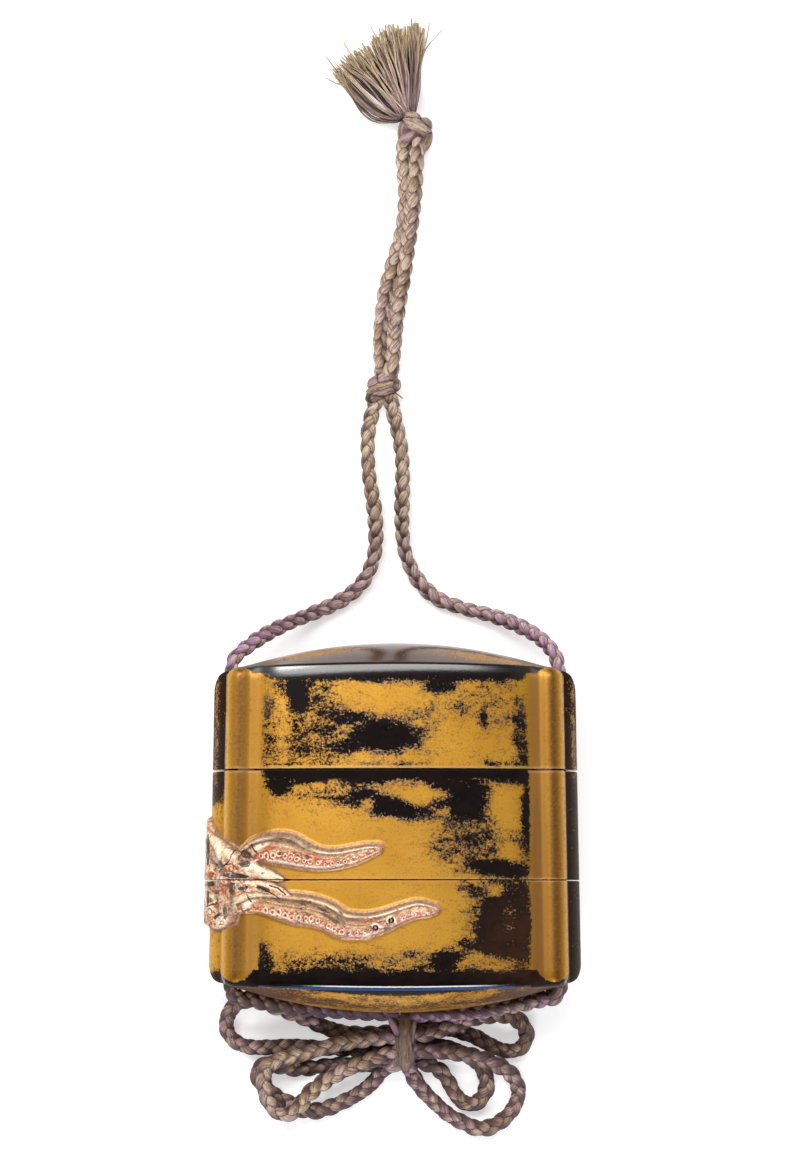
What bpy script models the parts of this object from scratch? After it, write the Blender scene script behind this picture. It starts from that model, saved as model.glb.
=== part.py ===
"""Inro case: a three-tier lacquer case with its silk cord, lying on its back.

+X is the right of the front face, +Y runs from the base of the case to the lid and the tassel,
and +Z comes out of the front face. The origin is under the middle of the case, at the height of
the surface that it lies on. The script builds the lid and the two cases, which are hollow and
fit into each other by raised lips, the tentacles built up on them, and the cord with its knots.
"""
import math

import bmesh
import bpy
from mathutils import Matrix, Vector

MM = 0.001

# The closed case. Its cross-section is the same all the way up, apart from a slight taper.
HALF_WIDTH = 30.9 * MM            # at mid height, at the middle plane
TAPER = 0.018                     # half width lost for each unit of height
HALF_HEIGHT = 31.1 * MM           # to the crown of the lid and of the base
MID_Z = 12.5 * MM                 # the middle plane, over the surface it lies on
FACE_BULGE = 12.65 * MM           # front and back at their fullest, before the back is flattened
FACE_RADIUS = 90.0 * MM           # curve of the front and back
REST_HALF = 5.19 * MM             # half width of the flat on the back

# The half-round rib near each side and the rounded side wall behind it.
RIB_CENTRE = 26.1 * MM
RIB_RADIUS = 2.5 * MM
RIB_DEPTH = 6.45 * MM             # height of the rib's centre over the middle plane
SIDE_CENTRE = 26.9 * MM
SIDE_DEPTH = 5.6 * MM
SIDE_STEP = 0.2 * MM              # from the rib's outer edge to the side wall behind it

# The domed ends.
CROWN_RADIUS = 83.0 * MM          # curve of the crown line, seen from the front
END_DROP = 3.8 * MM               # how far the front edge lies below the crown, at the middle
END_DROP_REACH = 27.4 * MM        # where that drop has run out
CORNER_START = 28.0 * MM
CORNER_DROP = 2.2 * MM
SHOULDER = 0.35 * MM              # the faces pull in by this much towards the domed ends
SHOULDER_RUN = 2.4 * MM

# The three tiers and how they fit together.
UPPER_SEAM = 9.45 * MM
LOWER_SEAM = -8.95 * MM
GAP = 0.3 * MM
LIP_HEIGHT = 4.0 * MM
WALL = 2.0 * MM                   # outer wall of the front and back
LIP_INSET = 1.1 * MM              # outer face of a lip, in from the face of the case
SOCKET_INSET = 0.8 * MM           # socket of the tier above, in from the face of the case
CAVITY_HALF = 23.2 * MM
LIP_HALF = 24.1 * MM
SOCKET_HALF = 24.4 * MM
FLOOR = 1.4 * MM
DOME_WALL = 2.4 * MM

# The cord and its channels.
CORD_RADIUS = 1.25 * MM
CORD_SIDES = 2                    # bevel resolution
CHANNEL_X = 27.6 * MM
CHANNEL_RADIUS = 1.6 * MM
FALL_STEP = 6.5 * MM              # between the points of the legs, down to the lid
BASE_STEP = 2.4 * MM              # where they turn in along the base
LOOP_STEP = 5.6 * MM

# The root of the tentacles, built up round the left side of the two cases.
ROOT_HEIGHT = 1.1 * MM
ROOT_INNER = -24.0 * MM           # it starts here and widens outwards
ROOT_PIVOT = -20.0 * MM           # the build-up thickens away from this line
ROOT_EDGE = 0.8 * MM
ROOT_TOP = -4.9 * MM              # its upper edge at the start, and how far that climbs
ROOT_CLIMB = 8.8 * MM
ROOT_CLIMB_RUN = 8.0 * MM
ROOT_BOTTOM = -13.0 * MM          # its lower edge at the start, and how far that sinks
ROOT_SINK = 3.9 * MM
ROOT_SINK_RUN = 6.0 * MM


def crown(u):
    """Height of the crown line over mid height, u away from the middle."""
    corner = max(0.0, (abs(u) - CORNER_START) / (HALF_WIDTH - CORNER_START))
    return HALF_HEIGHT - u * u / (2 * CROWN_RADIUS) - CORNER_DROP * corner ** 6


def end_drop(u):
    """How far the front and back edges lie below the crown line."""
    return END_DROP * max(0.0, 1 - (u / END_DROP_REACH) ** 2)


def face(u):
    """Half thickness of the pillow-shaped front or back."""
    return FACE_BULGE - u * u / (2 * FACE_RADIUS)


def rib_start_angle():
    """Where the rib's arc rises out of the face, as an angle round the rib's centre."""
    angle = math.pi
    while True:
        u = RIB_CENTRE + RIB_RADIUS * math.cos(angle)
        if RIB_DEPTH + RIB_RADIUS * math.sin(angle) > face(u):
            return angle
        angle -= 0.01


def quarter_outline():
    """(u, w) from the middle of the front to the outermost point of the side."""
    start = rib_start_angle()
    rib_u = RIB_CENTRE + RIB_RADIUS * math.cos(start)
    points = [(0.0, face(0.0)), (REST_HALF, face(REST_HALF))]
    for step in range(1, 5):
        u = REST_HALF + (rib_u - REST_HALF) * step / 5
        points.append((u, face(u)))
    for step in range(6):
        angle = start * (1 - step / 5)
        points.append((RIB_CENTRE + RIB_RADIUS * math.cos(angle),
                       RIB_DEPTH + RIB_RADIUS * math.sin(angle)))
    side_reach = HALF_WIDTH - SIDE_CENTRE
    side_start = math.acos((RIB_CENTRE + RIB_RADIUS + SIDE_STEP - SIDE_CENTRE) / side_reach)
    for step in range(4):
        angle = side_start * (1 - step / 3)
        points.append((SIDE_CENTRE + side_reach * math.cos(angle), SIDE_DEPTH * math.sin(angle)))
    return points


def full_ring(quarter):
    """The closed outline: the front from left to right, then the back from right to left."""
    front = [(-u, w) for u, w in reversed(quarter)] + quarter[1:]
    back = [(x, -w) for x, w in reversed(front[1:-1])]
    return front + back


OUTLINE = full_ring(quarter_outline())


def spread(height):
    """Factor on the half width at this height, for the taper."""
    return 1 - TAPER * height / HALF_WIDTH


def place(x, height, w):
    """A point of the case; the back is flattened where it would dip below the surface."""
    return Vector((x, height, MID_Z + max(w, -MID_Z)))


def root_top(x):
    """Upper edge of the build-up, which falls away from the side towards the front."""
    return ROOT_TOP + ROOT_CLIMB * max(0.0, (ROOT_INNER - x) / ROOT_CLIMB_RUN) ** 1.3


def root_bottom(x):
    """Lower edge of the build-up."""
    return ROOT_BOTTOM - ROOT_SINK * min(1.0, max(0.0, (ROOT_INNER - x) / ROOT_SINK_RUN))


def build_up(x, height):
    """How far the build-up stands out of the case here."""
    if x > ROOT_INNER:
        return 0.0
    inside = min(root_top(x) - height, height - root_bottom(x)) / ROOT_EDGE
    return ROOT_HEIGHT * min(1.0, max(0.0, inside))


def outer_ring(height):
    """A flat ring of the outside at this height."""
    ring = []
    for x, w in OUTLINE:
        wide = x * spread(height)
        grown = build_up(wide, height)
        away = Vector((wide - ROOT_PIVOT, w)).normalized() * grown
        ring.append(place(wide + away.x, height, w + away.y))
    return ring


def end_rings(side):
    """Rings from the shoulder over the domed end to its crown; side is +1 for the lid, -1 below.

    Each ring has a reach, from 1 at the edge to 0 at the crown, and a pull towards the shoulder.
    """
    rings = []
    for reach, pull in ((1.0, 0.0), (1.0, 1.0), (0.8, 1.0), (0.5, 1.0), (0.0, 1.0)):
        ring = []
        for x, w in OUTLINE:
            height = crown(x) - end_drop(x) * reach * reach - SHOULDER_RUN * (1 - pull)
            inward = SHOULDER * pull * min(1.0, abs(w) / SIDE_DEPTH)
            w_in = math.copysign(max(0.0, abs(w) - inward), w) * reach
            ring.append(place(x * spread(side * height), side * height, w_in))
        rings.append(ring)
    return rings


def inner_outline(half, inset):
    """The outline of a cavity, lip or socket: flat faces that turn in to rounded ends."""
    outline = []
    for x, w in OUTLINE:
        part = x / HALF_WIDTH
        depth = (face(part * half) - inset) * math.sqrt(max(0.0, 1 - part ** 6))
        outline.append((part * half, math.copysign(depth, w)))
    return outline


def inner_ring(height, half, inset):
    return [place(x, height, w) for x, w in inner_outline(half, inset)]


def inner_end_rings(side):
    """Rings of a cavity's domed end, a wall's thickness inside the outer dome."""
    rings = []
    for reach in (1.0, 0.6, 0.0):
        ring = []
        for x, w in inner_outline(CAVITY_HALF, WALL):
            height = crown(x) - end_drop(x) * (reach * w / face(x)) ** 2 - DOME_WALL
            ring.append(place(x, side * height, w * reach))
        rings.append(ring)
    return rings


def link(obj, collection):
    for other in obj.users_collection:
        other.objects.unlink(obj)
    collection.objects.link(obj)
    return obj


def loft(name, rings, collection):
    """A closed solid through rings of equal count.

    An end ring that has closed up to a line needs no cap; a flat one gets a face.
    """
    bm = bmesh.new()
    loops = [[bm.verts.new(point) for point in ring] for ring in rings]
    count = len(rings[0])
    for lower, upper in zip(loops, loops[1:]):
        for i in range(count):
            j = (i + 1) % count
            bm.faces.new((lower[i], lower[j], upper[j], upper[i]))
    for ring, loop in ((rings[0], loops[0]), (rings[-1], loops[-1])):
        if max(point.z for point in ring) - min(point.z for point in ring) > MM:
            bm.faces.new(loop)
    bmesh.ops.remove_doubles(bm, verts=bm.verts, dist=0.001 * MM)
    bmesh.ops.dissolve_degenerate(bm, edges=bm.edges, dist=0.0005 * MM)
    bmesh.ops.recalc_face_normals(bm, faces=bm.faces)
    mesh = bpy.data.meshes.new(name)
    bm.to_mesh(mesh)
    bm.free()
    obj = bpy.data.objects.new(name, mesh)
    return link(obj, collection)


def as_cutter(obj):
    obj.hide_render = True
    obj.display_type = "WIRE"
    return obj


def combine(obj, other, operation):
    modifier = obj.modifiers.new(operation.title() + " " + other.name, "BOOLEAN")
    modifier.operation = operation
    modifier.object = other
    modifier.solver = "EXACT"


def channel_cutters(cutters):
    """One long drill down each side, for the cord."""
    made = []
    for name, x in (("channel_left", -CHANNEL_X), ("channel_right", CHANNEL_X)):
        bpy.ops.mesh.primitive_cylinder_add(
            vertices=16, radius=CHANNEL_RADIUS, depth=3 * HALF_HEIGHT,
            location=(x, 0, MID_Z), rotation=(math.pi / 2, 0, 0))
        obj = bpy.context.object
        obj.name = name
        made.append(as_cutter(link(obj, cutters)))
    return made


def tentacle(name, path, cutters):
    """A tapering limb, sunk by a third of its radius into the front face.

    path holds (x, y, radius) along the limb; it becomes a tube that the case is united with.
    """
    curve = bpy.data.curves.new(name, "CURVE")
    curve.dimensions = "3D"
    curve.bevel_depth = 1.0
    curve.bevel_resolution = 3
    curve.use_fill_caps = True
    spline = curve.splines.new("POLY")
    spline.points.add(len(path) - 1)
    for point, (x, y, radius) in zip(spline.points, path):
        point.co = (x, y, MID_Z + face(x) - radius / 3, 1)
        point.radius = radius
    source = bpy.data.objects.new(name, curve)
    link(source, cutters)
    bpy.context.view_layer.update()
    mesh = bpy.data.meshes.new_from_object(source.evaluated_get(bpy.context.evaluated_depsgraph_get()))
    bpy.data.objects.remove(source)
    bm = bmesh.new()
    bm.from_mesh(mesh)
    bmesh.ops.remove_doubles(bm, verts=bm.verts, dist=0.001 * MM)
    bmesh.ops.recalc_face_normals(bm, faces=bm.faces)
    bm.to_mesh(mesh)
    bm.free()
    return as_cutter(link(bpy.data.objects.new(name, mesh), cutters))


def smooth_route(points, step):
    """Points about step apart along a smooth curve through the route's own points."""
    points = [Vector(p) * MM for p in points]
    ends = [2 * points[0] - points[1]] + points + [2 * points[-1] - points[-2]]
    dense = []
    for a, b, c, d in zip(ends, ends[1:], ends[2:], ends[3:]):
        for i in range(12):
            t = i / 12
            dense.append(0.5 * (2 * b + (c - a) * t + (2 * a - 5 * b + 4 * c - d) * t * t
                                + (3 * b - a - 3 * c + d) * t ** 3))
    dense.append(points[-1])
    length = sum((q - p).length for p, q in zip(dense, dense[1:]))
    count = max(2, round(length / step))
    spaced = [dense[0]]
    walked = 0.0
    for p, q in zip(dense, dense[1:]):
        leg = (q - p).length
        while len(spaced) < count and walked + leg >= length * len(spaced) / count:
            spaced.append(p.lerp(q, (length * len(spaced) / count - walked) / leg))
        walked += leg
    spaced.append(dense[-1])
    return spaced


def cord(name, route, collection):
    """A plain round tube along a route."""
    curve = bpy.data.curves.new(name, "CURVE")
    curve.dimensions = "3D"
    curve.bevel_depth = CORD_RADIUS
    curve.bevel_resolution = CORD_SIDES
    curve.use_fill_caps = True
    spline = curve.splines.new("POLY")
    spline.points.add(len(route) - 1)
    for point, place_at in zip(spline.points, route):
        point.co = (*place_at, 1)
    return link(bpy.data.objects.new(name, curve), collection)


def turned(name, profile, place_at, lean, flatten, collection):
    """A turned solid lying down; profile is (radius, height) from its far end to its near one.

    Its axis points along +Y, leaning to the left by lean; flatten is (across, up).
    """
    mesh = bpy.data.meshes.new(name)
    mesh.from_pydata([(r, 0, h) for r, h in profile], [(i, i + 1) for i in range(len(profile) - 1)], [])
    obj = bpy.data.objects.new(name, mesh)
    screw = obj.modifiers.new("Turn", "SCREW")
    screw.steps = 12
    screw.render_steps = 12
    screw.use_merge_vertices = True
    screw.merge_threshold = 0.0001
    across = Vector((math.cos(lean), math.sin(lean), 0))
    along = Vector((-math.sin(lean), math.cos(lean), 0))
    turn = Matrix((across, Vector((0, 0, -1)), along)).transposed().to_4x4()
    obj.matrix_world = Matrix.Translation(place_at) @ turn @ Matrix.Diagonal((*flatten, 1, 1))
    return link(obj, collection)


def lump(name, centre, radii, collection):
    """A rounded lump of knotted cord."""
    bpy.ops.mesh.primitive_uv_sphere_add(segments=14, ring_count=9, location=centre)
    obj = bpy.context.object
    obj.name = name
    obj.data.transform(Matrix.Diagonal((*radii, 1)))
    return link(obj, collection)


# Routes of the cord, in millimetres. The legs start at the binding knot and come down to the lid,
# go straight through the channels and run along the base to the bow.
LEFT_FALL = [
    (-3.5, 72.8, 1.9), (-4.1, 70.7, 1.4), (-4.6, 68.1, 1.4), (-4.7, 64.6, 1.4), (-4.5, 60.8, 1.4),
    (-3.8, 56.4, 1.4), (-3.3, 51.5, 1.4), (-3.6, 46.7, 1.4), (-5.5, 42.3, 1.4), (-9.1, 39.2, 1.4),
    (-13.5, 37.1, 2.3), (-17.7, 35.2, 5.0), (-21.6, 33.1, 8.2), (-24.9, 30.7, 11.0),
    (-27.1, 28.6, 12.3), (-27.6, 26.6, 12.5)]
LEFT_BASE = [
    (-27.6, -26.9, 12.5), (-27.2, -28.05, 12.2), (-26.1, -28.6, 11.3), (-24.5, -28.9, 10.4),
    (-22.8, -29.3, 9.6), (-21.1, -29.6, 8.8), (-18.3, -30.1, 7.7), (-16.6, -30.3, 7.2),
    (-13.0, -30.7, 6.6), (-9.3, -30.9, 6.0), (-5.6, -31.1, 5.5), (-0.4, -31.4, 5.0)]
RIGHT_FALL = [
    (-0.6, 72.8, 1.9), (-0.1, 70.7, 1.4), (0.5, 68.1, 1.4), (1.1, 64.6, 1.4), (1.3, 60.8, 1.4),
    (1.2, 56.4, 1.4), (1.2, 51.5, 1.4), (1.8, 47.1, 1.4), (3.8, 42.8, 1.4), (7.2, 39.5, 1.4),
    (11.6, 37.8, 1.5), (16.6, 36.4, 2.8), (21.1, 34.5, 5.6), (24.8, 32.0, 9.0),
    (27.0, 29.2, 12.0), (27.6, 26.6, 12.5)]
RIGHT_BASE = [
    (27.6, -26.9, 12.5), (27.2, -28.05, 12.2), (26.1, -28.6, 11.3), (24.6, -28.9, 10.4),
    (23.0, -29.3, 9.7), (21.0, -29.7, 8.9), (19.0, -30.0, 8.1), (15.7, -30.6, 7.3),
    (12.0, -31.0, 6.7), (9.3, -31.2, 6.2), (6.8, -31.3, 5.7), (3.9, -31.5, 5.2)]
PAIR_LEFT_ROUTE = [
    (-2.2, 79.2, 1.4), (-2.6, 82.1, 1.4), (-2.8, 84.7, 1.4), (-2.6, 87.4, 1.4), (-1.8, 92.6, 1.4),
    (-1.0, 95.1, 1.4), (-0.3, 97.6, 1.4), (1.3, 102.8, 1.4), (2.0, 108.0, 1.4), (1.8, 111.8, 1.4),
    (1.5, 114.3, 1.4), (1.4, 116.6, 1.4)]
PAIR_RIGHT_ROUTE = [
    (-0.6, 79.2, 3.8), (-0.3, 82.1, 3.2), (0.1, 84.7, 2.3), (0.3, 87.4, 1.5), (1.3, 92.6, 1.5),
    (1.8, 95.1, 2.6), (2.0, 97.6, 3.5), (2.5, 102.8, 4.1), (3.0, 108.0, 4.1), (3.4, 111.8, 3.8),
    (3.7, 114.3, 3.5), (4.0, 116.6, 3.3)]
BOW_ROUTES = {
    "bow_loop_left_upper": [
        (-0.4, -34.5, 1.4), (-3.9, -34.8, 1.4), (-7.7, -34.8, 1.4), (-11.1, -34.0, 1.4),
        (-15.3, -32.2, 1.4), (-20.4, -30.2, 1.4), (-24.2, -29.1, 1.4), (-26.8, -29.6, 1.4),
        (-28.3, -31.4, 1.4), (-28.7, -33.5, 1.4), (-28.2, -35.0, 1.4), (-26.7, -36.4, 1.4),
        (-24.3, -37.1, 1.4), (-20.8, -37.1, 1.4), (-16.5, -37.0, 1.4), (-12.0, -37.2, 1.4),
        (-8.0, -37.4, 1.4), (-4.3, -37.4, 1.4), (-0.4, -37.1, 1.4)],
    "bow_loop_left_front": [
        (-0.4, -35.2, 4.3), (-5.1, -35.7, 4.3), (-9.3, -36.4, 4.3), (-13.1, -37.5, 4.3),
        (-16.6, -38.5, 4.3), (-19.3, -39.1, 4.3), (-21.4, -40.1, 4.3), (-22.2, -41.8, 4.3),
        (-22.1, -44.0, 4.4), (-21.3, -46.4, 4.4), (-19.5, -48.2, 4.3), (-17.7, -48.2, 4.3),
        (-16.1, -46.8, 4.3), (-14.8, -45.1, 4.3), (-12.9, -43.5, 4.0), (-10.2, -41.8, 3.9),
        (-7.5, -40.5, 4.2), (-4.6, -39.4, 4.3), (-0.4, -38.1, 4.3)],
    "bow_loop_left_lower": [
        (-0.4, -39.8, 1.4), (-5.1, -40.0, 1.4), (-10.2, -40.1, 1.4), (-13.3, -40.5, 1.4),
        (-16.3, -40.7, 1.4), (-18.9, -40.4, 1.4), (-21.1, -39.9, 1.4), (-23.0, -40.6, 1.4),
        (-23.3, -42.3, 1.4), (-22.0, -44.0, 1.4), (-19.9, -45.5, 1.4), (-17.7, -46.7, 1.4),
        (-15.6, -47.7, 1.4), (-13.6, -47.9, 1.4), (-11.1, -47.3, 1.4), (-8.3, -46.1, 1.4),
        (-6.3, -45.0, 1.4), (-4.7, -43.9, 1.4), (-3.0, -43.1, 1.4), (-1.0, -42.8, 1.4)],
    "bow_loop_right_upper": [
        (3.9, -34.9, 4.3), (6.3, -34.5, 4.3), (8.8, -33.7, 4.3), (11.6, -32.7, 4.2),
        (14.5, -32.0, 3.1), (17.5, -31.6, 1.7), (19.8, -31.9, 1.4), (21.7, -33.2, 1.4),
        (22.4, -35.2, 1.4), (21.4, -37.2, 1.4), (18.9, -37.7, 1.4), (16.2, -36.7, 1.4),
        (13.6, -35.3, 1.4), (11.0, -34.4, 1.4), (8.0, -33.7, 1.4), (3.9, -33.5, 1.4)],
    "bow_loop_right_inner": [
        (3.9, -36.5, 1.4), (7.6, -36.8, 1.4), (10.2, -37.5, 1.4), (12.7, -38.8, 1.4),
        (14.6, -40.3, 1.4), (15.6, -42.7, 1.4), (15.2, -45.0, 1.4), (13.6, -46.6, 1.4),
        (11.6, -46.4, 1.4), (10.1, -44.8, 1.4), (9.0, -42.8, 1.4), (7.8, -41.2, 1.4),
        (6.1, -40.1, 1.4), (3.9, -39.4, 1.4)],
    "bow_loop_right_lower": [
        (3.9, -37.7, 4.3), (6.8, -37.8, 4.3), (9.7, -38.0, 4.3), (12.4, -38.4, 4.3),
        (15.1, -39.1, 4.3), (17.9, -40.3, 3.6), (20.1, -42.1, 2.4), (21.0, -44.5, 1.5),
        (20.4, -46.9, 1.4), (18.7, -49.1, 1.4), (16.2, -50.6, 1.4), (13.9, -50.8, 1.4),
        (11.7, -49.9, 1.4), (9.2, -48.6, 1.4), (6.9, -46.6, 1.4), (4.9, -44.6, 1.4),
        (3.3, -42.4, 1.4)],
}

# The tentacles on the front: x, y and radius along each, in millimetres.
UPPER_TENTACLE = [
    (-26.5, -6.0, 1.7), (-24.3, -4.9, 1.9), (-22.1, -3.8, 2.1), (-19.6, -3.1, 2.2),
    (-17.1, -3.1, 2.2), (-13.0, -3.9, 1.9), (-8.6, -3.9, 1.45), (-4.8, -3.3, 1.2), (-2.8, -3.2, 0.7)]
LOWER_TENTACLE = [
    (-26.5, -11.9, 1.9), (-24.1, -11.6, 2.1), (-21.5, -11.6, 2.2), (-19.1, -11.9, 2.4),
    (-16.3, -12.5, 2.4), (-10.8, -14.1, 2.1), (-6.5, -14.9, 2.0), (-2.3, -14.4, 1.9),
    (2.0, -12.9, 1.6), (4.5, -12.3, 1.3), (6.3, -12.8, 0.7)]


def in_mm(path):
    return [tuple(value * MM for value in point) for point in path]


def build_lid(parts, cutters, channels):
    low = UPPER_SEAM + GAP / 2
    lid = loft("lid", [outer_ring(low)] + end_rings(1), parts)
    below = low - 1 * MM
    cavity = as_cutter(loft(
        "lid_cavity", [inner_ring(below, CAVITY_HALF, WALL)] + inner_end_rings(1), cutters))
    socket = as_cutter(loft(
        "lid_socket", [inner_ring(below, SOCKET_HALF, SOCKET_INSET),
                       inner_ring(UPPER_SEAM + LIP_HEIGHT + GAP, SOCKET_HALF, SOCKET_INSET)], cutters))
    for cutter in [cavity, socket] + channels:
        combine(lid, cutter, "DIFFERENCE")
    return lid


def build_upper_case(parts, cutters, channels):
    low = LOWER_SEAM + GAP / 2
    high = UPPER_SEAM - GAP / 2
    heights = [low] + [h * MM for h in (-6.8, -4.8, -2.8, -0.8, 1.2, 3.2, 4.6)] + [high]
    rings = [outer_ring(height) for height in heights]
    rings += [inner_ring(high, LIP_HALF, LIP_INSET),
              inner_ring(UPPER_SEAM + LIP_HEIGHT, LIP_HALF, LIP_INSET)]
    case = loft("upper_case", rings, parts)
    combine(case, tentacle("upper_tentacle", in_mm(UPPER_TENTACLE), cutters), "UNION")
    socket_top = LOWER_SEAM + LIP_HEIGHT + GAP
    cavity = as_cutter(loft(
        "upper_case_cavity", [inner_ring(socket_top + FLOOR, CAVITY_HALF, WALL),
                              inner_ring(UPPER_SEAM + 2 * LIP_HEIGHT, CAVITY_HALF, WALL)], cutters))
    socket = as_cutter(loft(
        "upper_case_socket", [inner_ring(low - 1 * MM, SOCKET_HALF, SOCKET_INSET),
                              inner_ring(socket_top, SOCKET_HALF, SOCKET_INSET)], cutters))
    for cutter in [cavity, socket] + channels:
        combine(case, cutter, "DIFFERENCE")
    return case


def build_lower_case(parts, cutters, channels):
    high = LOWER_SEAM - GAP / 2
    heights = [h * MM for h in (-18.0, -16.6, -15.2, -13.4, -11.4)] + [high]
    rings = list(reversed(end_rings(-1))) + [outer_ring(height) for height in heights]
    rings += [inner_ring(high, LIP_HALF, LIP_INSET),
              inner_ring(LOWER_SEAM + LIP_HEIGHT, LIP_HALF, LIP_INSET)]
    case = loft("lower_case", rings, parts)
    combine(case, tentacle("lower_tentacle", in_mm(LOWER_TENTACLE), cutters), "UNION")
    cavity = as_cutter(loft(
        "lower_case_cavity", list(reversed(inner_end_rings(-1)))
        + [inner_ring(LOWER_SEAM + 2 * LIP_HEIGHT, CAVITY_HALF, WALL)], cutters))
    for cutter in [cavity] + channels:
        combine(case, cutter, "DIFFERENCE")
    return case


def build_cord(parts):
    left = smooth_route(LEFT_FALL, FALL_STEP) + smooth_route(LEFT_BASE, BASE_STEP)
    right = smooth_route(RIGHT_FALL, FALL_STEP) + smooth_route(RIGHT_BASE, BASE_STEP)
    made = [cord("cord_left", left, parts),
            cord("cord_right", right, parts),
            cord("cord_pair_left", smooth_route(PAIR_LEFT_ROUTE, LOOP_STEP), parts),
            cord("cord_pair_right", smooth_route(PAIR_RIGHT_ROUTE, LOOP_STEP), parts)]
    for name, route in BOW_ROUTES.items():
        made.append(cord(name, smooth_route(route, LOOP_STEP), parts))
    return made


def build_knots(parts, cutters):
    """The binding knot, the turn round the bow, the end knot and the tassel."""
    half = 2.75 * MM
    turns = [(0.0, half), (1.6 * MM, 0.95 * half), (2.1 * MM, 0.7 * half), (1.8 * MM, 0.4 * half),
             (2.2 * MM, 0.0), (1.8 * MM, -0.4 * half), (2.1 * MM, -0.7 * half),
             (1.6 * MM, -0.95 * half), (0.0, -half)]
    binding = turned("binding_knot", turns, Vector((-2.0, 76.0, 2.4)) * MM, 0.0, (1.2, 1.0), parts)

    bpy.ops.mesh.primitive_cube_add(size=1, location=Vector((1.75, -36.1, 3.6)) * MM)
    wrap = bpy.context.object
    wrap.name = "bow_wrap"
    wrap.data.transform(Matrix.Diagonal((3.3 * MM, 10.4 * MM, 6.9 * MM, 1)))
    link(wrap, parts)
    bevel = wrap.modifiers.new("Rounded", "BEVEL")
    bevel.width = 1.3 * MM
    bevel.segments = 3

    end_knot = lump("end_knot", Vector((3.3, 120.1, 2.6)) * MM, (2.6 * MM, 3.0 * MM, 2.45 * MM), parts)
    lobe = as_cutter(lump("end_knot_lobe", Vector((5.0, 117.9, 2.0)) * MM,
                          (1.3 * MM, 1.7 * MM, 1.6 * MM), cutters))
    combine(end_knot, lobe, "UNION")

    fan = [(0.0, 15.4 * MM), (6.0 * MM, 14.8 * MM), (9.2 * MM, 13.0 * MM), (7.2 * MM, 9.0 * MM),
           (4.2 * MM, 4.5 * MM), (1.6 * MM, 0.5 * MM), (0.0, 0.0)]
    tassel = turned("tassel", fan, Vector((2.2, 123.9, 2.4)) * MM, math.radians(23), (1.0, 0.25), parts)
    return [binding, wrap, end_knot, tassel]


def finish(objects, name, colour, roughness, metallic=0.0):
    """One material for these objects: a Principled shader with its colour and gloss."""
    material = bpy.data.materials.new(name)
    material.use_nodes = True
    shader = material.node_tree.nodes["Principled BSDF"]
    shader.inputs["Base Color"].default_value = (*colour, 1)
    shader.inputs["Roughness"].default_value = roughness
    shader.inputs["Metallic"].default_value = metallic
    for obj in objects:
        obj.data.materials.append(material)


def main():
    for obj in list(bpy.data.objects):
        bpy.data.objects.remove(obj)
    parts = bpy.data.collections.new("inro_case")
    cutters = bpy.data.collections.new("cutters")
    for collection in (parts, cutters):
        bpy.context.scene.collection.children.link(collection)

    channels = channel_cutters(cutters)
    lid = build_lid(parts, cutters, channels)
    upper = build_upper_case(parts, cutters, channels)
    lower = build_lower_case(parts, cutters, channels)
    cords = build_cord(parts)
    binding, wrap, end_knot, tassel = build_knots(parts, cutters)

    finish([lid], "lid_lacquer", (0.30, 0.19, 0.04), 0.25, 0.5)
    finish([upper], "upper_case_lacquer", (0.50, 0.31, 0.06), 0.3, 0.5)
    finish([lower], "lower_case_lacquer", (0.42, 0.26, 0.05), 0.3, 0.5)
    finish(cords, "braided_silk", (0.27, 0.19, 0.16), 0.8)
    finish([binding, wrap, end_knot], "knotted_silk", (0.30, 0.21, 0.18), 0.8)
    finish([tassel], "frayed_silk", (0.36, 0.28, 0.16), 0.85)


main()
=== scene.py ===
"""Inro case with its silk cord: the visual model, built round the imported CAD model.

Shapes are worked out in millimetres in the CAD model's frame: +X to the right of the front face,
+Y from the base of the case to the tassel, +Z up out of the front face. The case lies on its back.
"""
import math

import bmesh
import bpy
import numpy as np
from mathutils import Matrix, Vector, noise


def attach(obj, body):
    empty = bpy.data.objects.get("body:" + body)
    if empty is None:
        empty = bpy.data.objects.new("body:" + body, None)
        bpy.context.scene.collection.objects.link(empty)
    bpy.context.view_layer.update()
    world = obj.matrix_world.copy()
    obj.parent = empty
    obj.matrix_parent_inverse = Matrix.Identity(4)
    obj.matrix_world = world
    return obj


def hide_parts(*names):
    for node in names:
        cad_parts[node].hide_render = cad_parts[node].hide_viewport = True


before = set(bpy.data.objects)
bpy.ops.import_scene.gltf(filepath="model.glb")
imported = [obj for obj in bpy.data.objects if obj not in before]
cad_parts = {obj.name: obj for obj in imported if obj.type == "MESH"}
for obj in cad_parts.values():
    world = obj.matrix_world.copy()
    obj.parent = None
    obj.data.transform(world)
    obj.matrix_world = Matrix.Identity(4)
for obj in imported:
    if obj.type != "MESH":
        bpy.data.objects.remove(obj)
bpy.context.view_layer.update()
MM = 0.001

# ---------------------------------------------------------------- camera, floor and lights


FOCAL_LENGTH = 163.2          # millimetres, on a sensor 36 mm wide
CAMERA_TILT = math.radians(4.0)
CAMERA_DISTANCE = 0.9
CAMERA_AIM = (0.00085, 0.041463, 0.008)
LIGHT_AIM = (0.0, 0.03, 0.0)
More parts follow.
